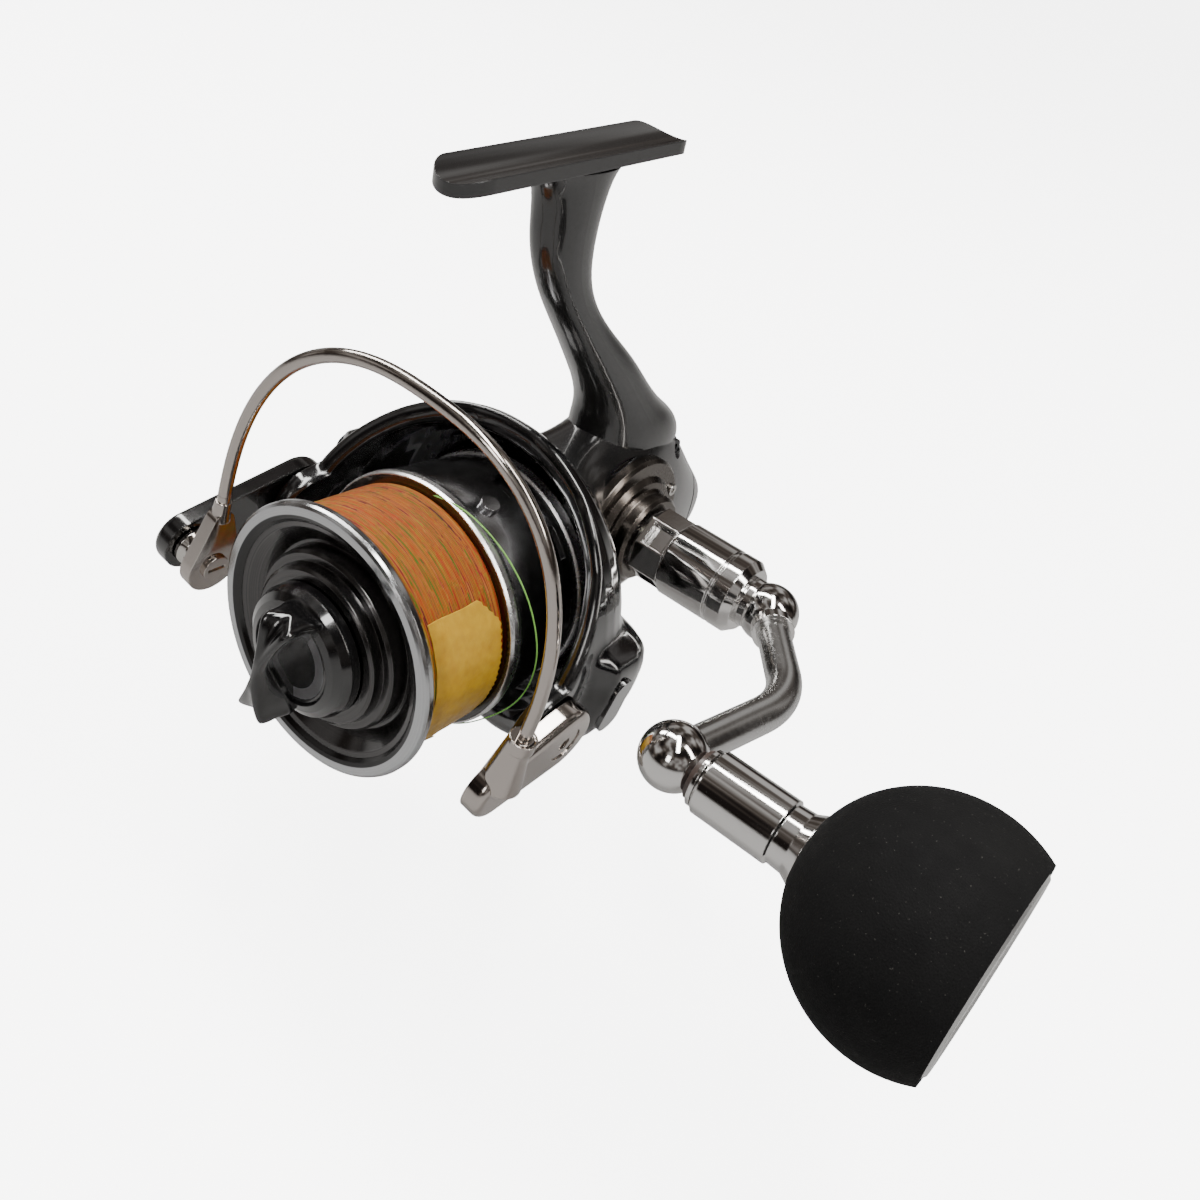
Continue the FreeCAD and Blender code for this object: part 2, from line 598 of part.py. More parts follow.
def make_spool():
    """Turned spool: dished front, arbor and skirt in one, with its lip, bands and line clip."""
    bore = SHAFT_RADIUS + RUN
    hub = SPOOL_HUB_RADIUS
    inner = ARBOR_RADIUS - ARBOR_WALL
    web_front = spool_front(6.0)
    web_rear = spool_front(13.0)
    band_front = SKIRT_END_Y - BAND_LENGTH
    shoulder = LINE_REAR_Y + BAND_LENGTH
    core = turned((
        (bore, SPOOL_HUB_REAR_Y), (hub, SPOOL_HUB_REAR_Y), (hub, web_rear), (inner, web_rear),
        (inner, LINE_REAR_Y - 1.6), (SKIRT_INNER_RADIUS - 1.5, LINE_REAR_Y + 2.0),
        (SKIRT_INNER_RADIUS, shoulder), (SKIRT_INNER_RADIUS, SKIRT_END_Y), (SKIRT_REAR_RADIUS, SKIRT_END_Y),
        (SKIRT_REAR_RADIUS, band_front), (SKIRT_FRONT_RADIUS, shoulder), (SKIRT_FRONT_RADIUS, LINE_REAR_Y),
        (ARBOR_RADIUS, LINE_REAR_Y), (ARBOR_RADIUS, flange_y(ARBOR_RADIUS)),
        (LIP_INNER_RADIUS, flange_y(LIP_INNER_RADIUS)), (LIP_INNER_RADIUS, spool_front(1.0)),
        (25.0, spool_front(1.4)), (21.2, spool_front(5.0)), (20.5, spool_front(5.0)),
        (20.1, spool_front(1.4)), (19.5, spool_front(0.8)), (17.9, spool_front(0.8)),
        (17.5, spool_front(-1.4)), (16.8, spool_front(-1.9)), (13.2, spool_front(-1.9)),
        (13.2, web_front), (bore, web_front)))
    window_rear = band_front - 2.4
    for index in range(SKIRT_WINDOWS):
        window = box((-WINDOW_WIDTH / 2, window_rear - WINDOW_LENGTH, SKIRT_INNER_RADIUS - 3),
                     (WINDOW_WIDTH / 2, window_rear, SKIRT_FRONT_RADIUS + 3))
        window.rotate(V(0, 0, 0), AXIS_Y, WINDOW_START + 360.0 * index / SKIRT_WINDOWS)
        core = core.cut(window)
    clip_y = LINE_REAR_Y + 8.8
    clip_root = along_y(clip_y, SKIRT_INNER_RADIUS + 1.0)
    clip = rod(CLIP_RADIUS, clip_root, along_y(clip_y, SKIRT_FRONT_RADIUS + 0.7))
    clip.rotate(V(0, 0, 0), AXIS_Y, CLIP_ANGLE)
    add("spool_core", core.cut(clip))
    add("line_clip", clip)

    add("spool_lip", turned((
        (LIP_INNER_RADIUS, spool_front(1.0)), (27.0, spool_front(0.2)), (28.0, spool_front(-0.2)),
        (LIP_RADIUS - 0.9, spool_front(-0.2)), (LIP_RADIUS - 0.3, spool_front(0.2)),
        (LIP_RADIUS, spool_front(0.9)), (LIP_RADIUS, spool_front(2.0)), (LIP_RADIUS - 0.5, spool_front(2.8)),
        (LIP_BACK_RADIUS, LIP_BACK_Y), (LIP_INNER_RADIUS, flange_y(LIP_INNER_RADIUS)))))
    front_band = SKIRT_FRONT_RADIUS + BAND_HEIGHT
    add("skirt_band_front", turned((
        (SKIRT_FRONT_RADIUS, LINE_REAR_Y), (SKIRT_FRONT_RADIUS + BAND_HEIGHT / 2, LINE_REAR_Y),
        (front_band, LINE_REAR_Y + 0.8), (front_band, shoulder - 1.4), (SKIRT_FRONT_RADIUS, shoulder))))
    rear_band = SKIRT_REAR_RADIUS + BAND_HEIGHT
    add("skirt_band_rear", turned((
        (SKIRT_REAR_RADIUS, band_front), (rear_band, band_front + 0.5), (rear_band, SKIRT_END_Y - 0.5),
        (SKIRT_REAR_RADIUS + 0.2, SKIRT_END_Y), (SKIRT_REAR_RADIUS, SKIRT_END_Y))))


def make_line():
    """The wound line as one turned body, and the strip of tape stuck round part of it."""
    front_y = on_lip_back(LINE_FRONT_RADIUS)
    add("line_winding", turned((
        (ARBOR_RADIUS, flange_y(ARBOR_RADIUS)), (LIP_INNER_RADIUS, flange_y(LIP_INNER_RADIUS)),
        (LINE_FRONT_RADIUS, front_y), (LINE_REAR_RADIUS, LINE_REAR_Y), (ARBOR_RADIUS, LINE_REAR_Y))))
    slope = (LINE_REAR_RADIUS - LINE_FRONT_RADIUS) / (LINE_REAR_Y - front_y)
    ends = []
    for y in (front_y + TAPE_FRONT_MARGIN, LINE_REAR_Y - TAPE_REAR_MARGIN):
        ends.append((LINE_FRONT_RADIUS + slope * (y - front_y), y))
    under = [V(radius, y, 0) for radius, y in ends]
    over = [V(radius + TAPE_THICKNESS, y, 0) for radius, y in reversed(ends)]
    tape = face_of(under + over).revolve(V(0, 0, 0), AXIS_Y, TAPE_WRAP)
    tape.rotate(V(0, 0, 0), AXIS_Y, TAPE_START)
    add("line_tape", tape)


def make_drag():
    """Drag washers in the spool's front socket, and the knob that presses them."""
    washer_span = (along_y(spool_front(0.6)), along_y(spool_front(6.0)))
    add("drag_washers", tube(12.6, SHAFT_RADIUS + RUN, *washer_span))
    front = knob_front_y()
    back = front + KNOB_BASE_DEPTH
    floor = front + 0.6
    r = KNOB_BASE_RADIUS
    half = GRIP_LENGTH / 2
    side_x = -GRIP_WIDTH / 2
    tip = GRIP_FRONT_Y
    grip_side = ((floor, -half), (tip + 3.0, -half - 0.6), (tip + 1.0, -half + 1.0), (tip, -half + 5.0),
                 (tip, half - 5.0), (tip + 1.0, half - 1.0), (tip + 3.0, half + 0.6), (floor, half))
    grip = face_of([V(side_x, y, z) for y, z in grip_side]).extrude(V(GRIP_WIDTH, 0, 0))
    grip.rotate(V(0, 0, 0), AXIS_Y, GRIP_TURN)
    base = turned((
        (0, back), (r, back), (r, back - 2.2), (r - 0.8, front + 1.6), (r - 2.4, front + 0.5),
        (r - 4.0, front), (r - 4.6, floor), (0, floor)))
    shaft_hole = rod(SHAFT_RADIUS + RUN, along_y(front + SHAFT_ENTRY - GAP), along_y(back))
    add("drag_knob_base", base.cut(shaft_hole).cut(grip))
    add("drag_knob_grip", grip)


# ---------------------------------------------------------------- rotor
def rotor_bell():
    """Flared shell cut to a saddle: wide behind, narrowed forward into the two arms."""
    back = ROTOR_BACK_Y
    r = ARM_OUTER_RADIUS
    w = ARM_WALL
    front = BAIL_PIVOT_Y - ARM_TIP_HALF_WIDTH
    shell = turned((
        (20.0, back - ROTOR_DISC_WALL), (20.0, back), (29.0, back), (35.0, back - 3.0), (39.2, back - 9.0),
        (r - 0.4, back - 17.0), (r, back - 26.0), (r, front), (r - w, front),
        (r - w, back - 25.0), (r - w - 0.8, back - 18.0), (39.0 - w, back - 11.0), (31.0, back - 5.0),
        (28.0, back - ROTOR_DISC_WALL)))
    t = ARM_TIP_HALF_WIDTH
    z = BAIL_PIVOT_Z
    neck = BAIL_PIVOT_Y + 3.0
    upper = ((front - 1.0, z + t * 0.6), (front + 3.0, z + t), (neck, 8.0), (36.0, 16.5), (42.0, 26.5),
             (47.0, 36.5), (50.0, 46.0), (back + 1.0, 50.0))
    lower = ((front - 1.0, z - t * 0.6), (front + 3.0, z - t), (neck, -13.0), (36.0, -18.5), (42.0, -26.5),
             (47.0, -36.5), (50.0, -46.0), (back + 1.0, -50.0))
    return shell.common(prism_along_x(upper, lower))


def prism_along_x(upper, lower):
    """Prism across the whole rotor whose side outline is two lists of (y, z)."""
    reach = 70.0
    outline = [V(-reach, y, z) for y, z in upper] + [V(-reach, y, z) for y, z in reversed(lower)]
    return face_of(outline).extrude(V(2 * reach, 0, 0))


def arm_rib(side):
    """Boxed outer part of an arm, from the disc to just behind the lever's pivot."""
    back = ROTOR_BACK_Y
    start = rib_front_y()
    inner = ARM_OUTER_RADIUS - 2.0
    outer = ARM_OUTER_RADIUS + ARM_RIB_HEIGHT
    profile = ((27.0, back), (27.0, back - ROTOR_DISC_WALL), (36.0, back - 7.0), (inner, back - 13.0),
               (inner, start), (outer - 1.6, start), (outer, start + 2.0), (outer, back - 9.0),
               (outer - 2.0, back - 4.6), (outer - 6.0, back - 1.2), (outer - 11.0, back))
    section = face_of([V(side * x, y, -30) for x, y in profile])
    block = section.extrude(V(0, 0, 60))
    upper = ((start, 7.0), (start + 6.0, 10.0), (back - 6.0, 15.0), (back, 15.0))
    lower = ((start, -9.0), (start + 6.0, -11.0), (back - 6.0, -15.0), (back, -15.0))
    return block.common(prism_along_x(upper, lower))


def rib_front_y():
    """The lever's round pivot end swings just in front of here."""
    return BAIL_PIVOT_Y + LEVER_PIVOT_RADIUS + 5 * GAP


def pivot_point(x):
    """Point on the bail's hinge axis."""
    return V(x, BAIL_PIVOT_Y, BAIL_PIVOT_Z)


def make_rotor():
    """Rotor turned round the spool's skirt, with its two arms, their covers and its nut."""
    back = ROTOR_BACK_Y
    disc = rod(29.0, along_y(back - ROTOR_DISC_WALL), along_y(back))
    cup = tube(ROTOR_CUP_RADIUS, ROTOR_CUP_RADIUS - ROTOR_CUP_WALL, along_y(ROTOR_CUP_FRONT_Y), along_y(back))
    hub = rod(ROTOR_HUB_RADIUS, along_y(nut_front_y() + NUT_WALL), along_y(back))
    shell = disc.fuse(cup).fuse(hub).fuse(rotor_bell()).fuse(arm_rib(1)).fuse(arm_rib(-1))
    shell = shell.cut(rod(PINION_SLEEVE_RADIUS, along_y(0), along_y(back + 1)))
    for side in (-1, 1):
        shell = shell.cut(rod(PIVOT_PIN_RADIUS, pivot_point(side * 30), pivot_point(side * 60)))
    outer = ARM_OUTER_RADIUS + ARM_RIB_HEIGHT
    for name, side in (("arm_cover_left", -1), ("arm_cover_right", 1)):
        ends = sorted((side * (outer - 0.8), side * (outer + 0.5)))
        middle_y = (rib_front_y() + 2.0 + back - 9.0) / 2
        plate = link_plate(ends[0], ends[1], ((middle_y, -5.5), 3.4), ((middle_y, 4.0), 3.0))
        shell = shell.cut(plate)
        add(name, turn_with_rotor(plate))
    add("rotor_shell", turn_with_rotor(shell))
    corners = hexagon(along_y(nut_front_y()), NUT_RADIUS, AXIS_X, AXIS_Z)
    nut = face_of(corners).extrude(V(0, NUT_WALL, 0))
    nut = nut.cut(rod(PINION_SLEEVE_RADIUS, along_y(0), along_y(back)))
    add("rotor_nut", nut)


# ---------------------------------------------------------------- bail
def lever(side, tip):
    """Flat arm from the pivot to its tip, with its outer edge rounded."""
    x0 = side * (ARM_OUTER_RADIUS + GAP)
    x1 = side * lever_face_x()
    big = ((BAIL_PIVOT_Y, BAIL_PIVOT_Z), LEVER_PIVOT_RADIUS)
    plate = link_plate(min(x0, x1), max(x0, x1), big, (tip, LEVER_TIP_RADIUS))
    outer = [edge for edge in plate.Edges if abs(edge.CenterOfMass.x - x1) < 0.01]
    plate = plate.makeFillet(1.8, outer)
    head_seat = rod(PIVOT_HEAD_RADIUS, pivot_point(side * (lever_face_x() - 1.6)), pivot_point(side * 60))
    return plate.cut(head_seat).cut(rod(PIVOT_PIN_RADIUS, pivot_point(side * 30), pivot_point(side * 60)))


def lever_face_x():
    """Outer face of a bail lever."""
    return ARM_OUTER_RADIUS + GAP + LEVER_WALL


def pivot_screw(side):
    """Shouldered screw: its pin turns in the arm's hole and its head lies in the lever."""
    head_in = side * (lever_face_x() - 1.6)
    head_out = side * (lever_face_x() - 0.3)
    head = rod(PIVOT_HEAD_RADIUS, pivot_point(head_in), pivot_point(head_out))
    socket = hexagon(pivot_point(head_out), PIVOT_SOCKET_RADIUS, AXIS_Y, AXIS_Z)
    head = head.cut(face_of(socket).extrude(V(-side * 0.9, 0, 0)))
    arm_face = side * (ARM_OUTER_RADIUS + GAP / 2)
    neck = rod(PIVOT_PIN_RADIUS, pivot_point(arm_face), pivot_point(head_in))
    arm_back = side * (ARM_OUTER_RADIUS - ARM_WALL)
    pin = rod(PIVOT_PIN_RADIUS - RUN, pivot_point(arm_back), pivot_point(arm_face))
    return head.fuse(neck).fuse(pin)


def roller_span():
    """Outer and inner end of the line roller, between the left lever and the roller's cap."""
    outer = -(ARM_OUTER_RADIUS + GAP) + GAP
    return outer, outer + ROLLER_LENGTH


def wire_ends():
    """X of the wire's feet: in the roller's cap at the left, over the lever at the right."""
    left_x = roller_span()[1] + GAP + CAP_PLATE_WALL / 2
    right_x = ARM_OUTER_RADIUS + GAP + LEVER_WALL / 2 + 1.6
    return left_x, right_x


def wire_point(share):
    """Point of the wire's centre line: a superellipse from the left foot (0) to the right (1)."""
    left_x, right_x = wire_ends()
    angle = math.pi * (1.0 - share)
    c = math.cos(angle)
    x = (left_x + right_x) / 2 + (right_x - left_x) / 2 * math.copysign(abs(c) ** (2 / WIRE_POWER), c)
    z = WIRE_FOOT_Z + WIRE_HEIGHT * abs(math.sin(angle)) ** (2 / WIRE_POWER)
    skew = (RIGHT_TIP_Y - LEFT_TIP_Y) / (right_x - left_x)
    y = LEFT_TIP_Y + skew * (x - left_x) - WIRE_LEAN * (z - WIRE_FOOT_Z)
    return V(x, y, z)


def make_bail():
    """Bail wire between its two levers, with the line roller under its left foot."""
    steps = 20
    spine = Part.BSplineCurve()
    points = [wire_point(0.5 - 0.5 * math.cos(math.pi * k / steps)) for k in range(steps + 1)]
    spine.interpolate(Points=points, InitialTangent=AXIS_Z * 60, FinalTangent=AXIS_Z * -60)
    edge = spine.toShape()
    section = Part.Wire([Part.makeCircle(WIRE_RADIUS, points[0], edge.tangentAt(edge.FirstParameter))])
    add("bail_wire", turn_with_rotor(Part.Wire([edge]).makePipeShell([section], True, True)))

    right_lever = lever(1, (RIGHT_TIP_Y, RIGHT_TIP_Z))
    foot_right = points[-1]
    base_z = RIGHT_TIP_Z + LEVER_TIP_RADIUS * 0.5
    socket_base = V(foot_right.x - 0.6, foot_right.y, base_z)
    socket = Part.makeCone(4.6, 2.5, foot_right.z - base_z, socket_base, AXIS_Z)
    collar = tube(2.9, 2.3, foot_right - AXIS_Z * 3.0, foot_right)
    socket = socket.fuse(collar).cut(right_lever)
    add("wire_socket", turn_with_rotor(keep_largest(socket)))
    add("bail_lever_right", turn_with_rotor(right_lever))
    add("pivot_screw_right", turn_with_rotor(pivot_screw(1)))
    add("pivot_screw_left", turn_with_rotor(pivot_screw(-1)))

    foot_left = points[0]
    cap_in = roller_span()[1] + GAP
    cap_out = cap_in + CAP_PLATE_WALL
    axis_y, axis_z = LEFT_TIP_Y, LEFT_TIP_Z
    neck_z = WIRE_FOOT_Z - 5.0
    cap = link_plate(cap_in, cap_out, ((axis_y, axis_z), LEVER_TIP_RADIUS), ((axis_y, neck_z), 2.6))
    neck_base = V(foot_left.x, axis_y, neck_z)
    neck = Part.makeCone(2.2, WIRE_RADIUS + 0.3, WIRE_FOOT_Z - neck_z, neck_base, AXIS_Z)
    pin_radius = 1.6
    lever_inner = -(ARM_OUTER_RADIUS + GAP)
    hole = rod(pin_radius, V(cap_in - 1, axis_y, axis_z), V(cap_out + 1, axis_y, axis_z))
    head = rod(3.2, V(cap_out, axis_y, axis_z), V(cap_out + 0.8, axis_y, axis_z))
    slot = box((cap_out + 0.3, axis_y - 2.2, axis_z - 0.4), (cap_out + 0.8, axis_y + 2.2, axis_z + 0.4))
    shank = rod(pin_radius, V(lever_inner - 2.5, axis_y, axis_z), V(cap_out, axis_y, axis_z))
    screw = shank.fuse(head).cut(slot)
    add("roller_cap", turn_with_rotor(cap.fuse(neck).cut(hole)))
    add("roller_screw", turn_with_rotor(screw))
    add("bail_lever_left", turn_with_rotor(lever(-1, (axis_y, axis_z)).cut(screw)))

    x1, x0 = roller_span()
    bearing_radius = 3.0
    groove = (
        (x1, bearing_radius), (x1, ROLLER_RADIUS), (x1 + 0.8, ROLLER_RADIUS), (x1 + 2.0, ROLLER_RADIUS - 0.9),
        (x0 - 1.6, ROLLER_RADIUS - 0.9), (x0 - 0.6, ROLLER_RADIUS), (x0, ROLLER_RADIUS), (x0, bearing_radius))
    centre = V(0, axis_y, axis_z)
    add("line_roller", turn_with_rotor(turned_about(groove, centre)))
    race_ends = (V(x1 + 0.3, axis_y, axis_z), V(x0 - 0.3, axis_y, axis_z))
    add("roller_bearing", turn_with_rotor(tube(bearing_radius, pin_radius + RUN, *race_ends)))


def keep_largest(shape):
    """A cut can leave a sliver beside the piece: the piece itself is the largest solid."""
    return max(shape.Solids, key=lambda solid: solid.Volume)


# ---------------------------------------------------------------- handle and knob
def make_handle():
    """Eight-sided shank, grooved sleeve, ball elbow and bent arm up to the knob's socket."""
    flat = SHANK_ACROSS / 2
    corner = flat / math.cos(math.pi / 8)
    corners = [V(SHANK_START_X, HUB_Y + corner * math.cos(math.pi / 8 + k * math.pi / 4),
                 HUB_Z + corner * math.sin(math.pi / 8 + k * math.pi / 4)) for k in range(8)]
    block = face_of(corners).extrude(V(SLEEVE_START_X - SHANK_START_X, 0, 0))
    for quarter in range(4):
        pocket = box((SHANK_START_X + 1.6, HUB_Y - 3.0, HUB_Z + flat - 2.4),
                     (SLEEVE_START_X - 0.8, HUB_Y + 3.0, HUB_Z + flat + 2.0))
        pocket.rotate(HUB, AXIS_X, 45.0 + 90.0 * quarter)
        block = block.cut(pocket)
    add("handle_shank", block)

    r = SLEEVE_RADIUS
    groove_x = SLEEVE_END_X - 5.0
    sleeve = (
        (SLEEVE_START_X, 0), (SLEEVE_START_X, r - 0.7), (SLEEVE_START_X + 0.7, r), (groove_x, r),
        (groove_x + 0.3, r - 0.5), (groove_x + 0.9, r - 0.5), (groove_x + 1.2, r), (SLEEVE_END_X, r),
        (SLEEVE_END_X + 2.0, r - 1.6), (SLEEVE_END_X + 2.0, 0))
    add("handle_sleeve", turned_about(sleeve, HUB))

    elbow_centre = at_hub(ELBOW_X)
    ball = Part.makeSphere(ELBOW_RADIUS, elbow_centre)
    ball = ball.fuse(rod(ELBOW_RADIUS - 1.0, at_hub(SLEEVE_END_X + 2.0), elbow_centre))
    first = ARM_BEND - elbow_centre
    first.normalize()
    collar_start = elbow_centre + first * (ELBOW_RADIUS - 1.0)
    collar_end = elbow_centre + first * (ELBOW_RADIUS + 2.0)
    ball = ball.fuse(rod(ARM_ROD_RADIUS + 1.1, collar_start, collar_end))
    sleeve_space = rod(SLEEVE_RADIUS, at_hub(SLEEVE_START_X), at_hub(SLEEVE_END_X + 2.0))
    add("handle_elbow", ball.cut(sleeve_space))

    second = KNOB - ARM_BEND
    second.normalize()
    bend_radius = 24.0
    half_turn = first.getAngle(second) / 2
    back_off = bend_radius * math.tan(half_turn)
    arc_start = ARM_BEND - first * back_off
    arc_end = ARM_BEND + second * back_off
    inward = second - first
    inward.normalize()
    arc_middle = ARM_BEND + inward * (bend_radius / math.cos(half_turn) - bend_radius)
    path_end = KNOB - second * (KNOB_SOCKET_RADIUS - 1.2)
    path = Part.Wire([
        Part.makeLine(collar_end, arc_start),
        Part.Arc(arc_start, arc_middle, arc_end).toShape(),
        Part.makeLine(arc_end, path_end)])
    section = Part.Wire([Part.makeCircle(ARM_ROD_RADIUS, collar_end, first)])
    arm = path.makePipeShell([section], True, True)
    socket = Part.makeSphere(KNOB_SOCKET_RADIUS, KNOB)
    add("handle_arm", arm.cut(socket))

    post_start = KNOB_X + KNOB_SOCKET_RADIUS - 1.4
    add("knob_socket", ball_on_x(KNOB, KNOB_SOCKET_RADIUS, KNOB_X - KNOB_SOCKET_RADIUS, post_start))
    post_end = KNOB_BALL_X - 4.0
    add("knob_post", rod(KNOB_POST_RADIUS, at_knob(post_start), at_knob(post_end)))


def make_knob():
    """Round foam knob turning on its post, on two bearings, with a sleeve and an end cap."""
    start = KNOB_X + KNOB_SOCKET_RADIUS - 1.4 + GAP
    bore = KNOB_POST_RADIUS + RUN
    for index, radius in enumerate((5.2, 6.0)):
        ring_start = start + 1.1 * index
        add("knob_ring_%d" % (index + 1), tube(radius, bore, at_knob(ring_start), at_knob(ring_start + 0.9)))
    sleeve_start = start + 2.2
    sleeve_end = sleeve_start + KNOB_SLEEVE_LENGTH
    r = KNOB_SLEEVE_RADIUS
    sleeve = (
        (sleeve_start, bore), (sleeve_start, r - 0.6), (sleeve_start + 0.6, r), (sleeve_end - 6.0, r),
        (sleeve_end - 5.6, r - 0.6), (sleeve_end - 2.4, r - 0.4), (sleeve_end, r + 0.8), (sleeve_end, bore))
    add("knob_sleeve", turned_about(sleeve, KNOB))
    ball_centre = at_knob(KNOB_BALL_X)
    ball = ball_on_x(ball_centre, KNOB_BALL_RADIUS, sleeve_end, KNOB_CUT_X)
    core_end = KNOB_BALL_X - 2.0
    bearing_seat = rod(KNOB_BEARING_RADIUS, at_knob(sleeve_end), at_knob(core_end))
    ball = ball.cut(bearing_seat)
    rim = math.sqrt(KNOB_BALL_RADIUS ** 2 - (KNOB_CUT_X - KNOB_BALL_X) ** 2)
    cap_radius = rim - 1.6
    recess = rod(cap_radius, at_knob(KNOB_CUT_X - 1.6), at_knob(KNOB_CUT_X + 5))
    add("knob_ball", ball.cut(recess))
    cut = KNOB_CUT_X
    cap = (
        (cut - 1.6, 0), (cut - 1.6, cap_radius), (cut - 0.1, cap_radius), (cut + 0.5, cap_radius - 0.9),
        (cut + 0.5, cap_radius - 3.0), (cut + 0.1, cap_radius - 3.6), (cut + 0.1, 0))
    add("knob_end_cap", turned_about(cap, KNOB))
    for index, x in enumerate((sleeve_end + 0.4, core_end - 0.6 - BEARING_WIDTH)):
        race = tube(KNOB_BEARING_RADIUS, bore, at_knob(x), at_knob(x + BEARING_WIDTH))
        add("knob_bearing_%d" % (index + 1), race)


def main():
    make_body()
    make_boss()
    make_drive_gear()
    make_slide_gear()
    make_pinion()
    make_shaft()
    make_spool()
    make_line()
    make_drag()
    make_rotor()
    make_bail()
    make_handle()
    make_knob()
    os.makedirs("parts", exist_ok=True)
    for node, shape in PARTS.items():
        placed = shape.copy()
        placed.translate(SEAT * -1)
        solids = placed.Solids
        if len(solids) == 1:
            placed = solids[0]
        placed.exportStep("parts/%s.step" % node)
        print(node, len(solids), placed.isValid(), round(placed.Volume, 1))


main()
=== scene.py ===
"""Looks of a spinning reel: front drag, bail, wound braid with a strip of tape, round foam knob."""
import math

import bmesh
import bpy
import numpy as np
from mathutils import Matrix, Vector


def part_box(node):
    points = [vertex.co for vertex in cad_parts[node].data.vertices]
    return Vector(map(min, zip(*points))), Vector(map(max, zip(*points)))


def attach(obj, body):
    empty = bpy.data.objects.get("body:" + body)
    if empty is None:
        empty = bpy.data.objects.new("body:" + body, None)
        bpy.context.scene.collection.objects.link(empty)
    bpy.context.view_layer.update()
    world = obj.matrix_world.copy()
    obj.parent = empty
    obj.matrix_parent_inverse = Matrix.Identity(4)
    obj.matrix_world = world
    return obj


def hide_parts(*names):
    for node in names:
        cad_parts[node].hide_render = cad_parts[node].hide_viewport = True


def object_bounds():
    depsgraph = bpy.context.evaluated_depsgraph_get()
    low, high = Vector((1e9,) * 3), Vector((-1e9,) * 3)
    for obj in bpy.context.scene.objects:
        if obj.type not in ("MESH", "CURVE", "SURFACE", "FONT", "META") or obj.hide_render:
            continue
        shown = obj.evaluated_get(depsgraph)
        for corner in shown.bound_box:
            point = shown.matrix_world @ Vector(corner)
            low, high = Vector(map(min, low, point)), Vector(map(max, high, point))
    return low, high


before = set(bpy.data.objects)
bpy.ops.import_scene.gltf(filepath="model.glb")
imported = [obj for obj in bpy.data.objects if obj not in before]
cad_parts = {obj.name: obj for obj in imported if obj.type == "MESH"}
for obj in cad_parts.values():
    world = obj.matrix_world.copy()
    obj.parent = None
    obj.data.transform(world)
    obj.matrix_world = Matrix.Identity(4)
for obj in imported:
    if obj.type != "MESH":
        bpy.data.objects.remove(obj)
cad_low, cad_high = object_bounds()

# ---------------------------------------------------------------- camera
# The reel is seen from the front on the handle side, from a little above, and lies tipped over on
# its rotor and knob, so the camera is rolled.
AZIMUTH = math.radians(30.29)
ELEVATION = math.radians(31.56)
ROLL = math.radians(15.21)
EYE = (0.14420, -0.19749, 0.06292)
SENSOR_WIDTH = 36.0
FOCAL_LENGTH = 37.19
SHIFT_ACROSS, SHIFT_UP = 0.0030, -0.0440

back = Vector((math.sin(AZIMUTH) * math.cos(ELEVATION), -math.cos(AZIMUTH) * math.cos(ELEVATION),
               math.sin(ELEVATION)))
right = Vector((math.cos(AZIMUTH), math.sin(AZIMUTH), 0.0))
up = back.cross(right)
eye_right = right * math.cos(ROLL) + up * math.sin(ROLL)
eye_up = up * math.cos(ROLL) - right * math.sin(ROLL)
camera = bpy.data.objects.new("camera", bpy.data.cameras.new("camera"))
camera.data.sensor_width = SENSOR_WIDTH
camera.data.lens = FOCAL_LENGTH
camera.data.shift_x = SHIFT_ACROSS
camera.data.shift_y = SHIFT_UP
camera.data.clip_start = 0.01
camera.matrix_world = Matrix.Translation(EYE) @ Matrix((eye_right, eye_up, back)).transposed().to_4x4()
bpy.context.scene.collection.objects.link(camera)
bpy.context.scene.camera = camera

# ---------------------------------------------------------------- body, stem and foot
# One aluminium casting from the foot down to the gear case, sprayed in a charcoal metallic under a
# clear coat. The side cover and the tail cover are the same casting and paint, held by screws.
MM = 0.001
EDGE_GAIN = 3.0


def add_node(tree, kind, inputs=None, **settings):
    """Shader node with these settings; an input takes a plain value or another node's socket."""
    made = tree.nodes.new(kind)
    for key, value in settings.items():
        setattr(made, key, value)
    for key, value in (inputs or {}).items():
        if isinstance(value, bpy.types.NodeSocket):
            tree.links.new(value, made.inputs[key])
        else:
            made.inputs[key].default_value = value
    return made


def new_group(name, inputs, outputs):
    """Empty shader node group with named sockets, each given as (name, kind, default)."""
    tree = bpy.data.node_groups.new(name, "ShaderNodeTree")
    for socket_name, kind, default in inputs:
        socket = tree.interface.new_socket(name=socket_name, in_out="INPUT",
                                           socket_type="NodeSocket" + kind)
        socket.default_value = default
    for socket_name, kind in outputs:
        tree.interface.new_socket(name=socket_name, in_out="OUTPUT", socket_type="NodeSocket" + kind)
    return tree, add_node(tree, "NodeGroupInput").outputs, add_node(tree, "NodeGroupOutput").inputs


def use_group(tree, name, **inputs):
    """Outputs of a node group placed in a material with its own values."""
    made = add_node(tree, "ShaderNodeGroup", node_tree=bpy.data.node_groups[name])
    for key, value in inputs.items():
        socket = made.inputs[key]
        if isinstance(value, bpy.types.NodeSocket):
            tree.links.new(value, socket)
        else:
            socket.default_value = value
    return made.outputs


def maths(tree, operation, first, second=0.5, third=0.5):
    """Output of one Math node."""
    made = add_node(tree, "ShaderNodeMath", {0: first, 1: second, 2: third}, operation=operation)
    return made.outputs[0]


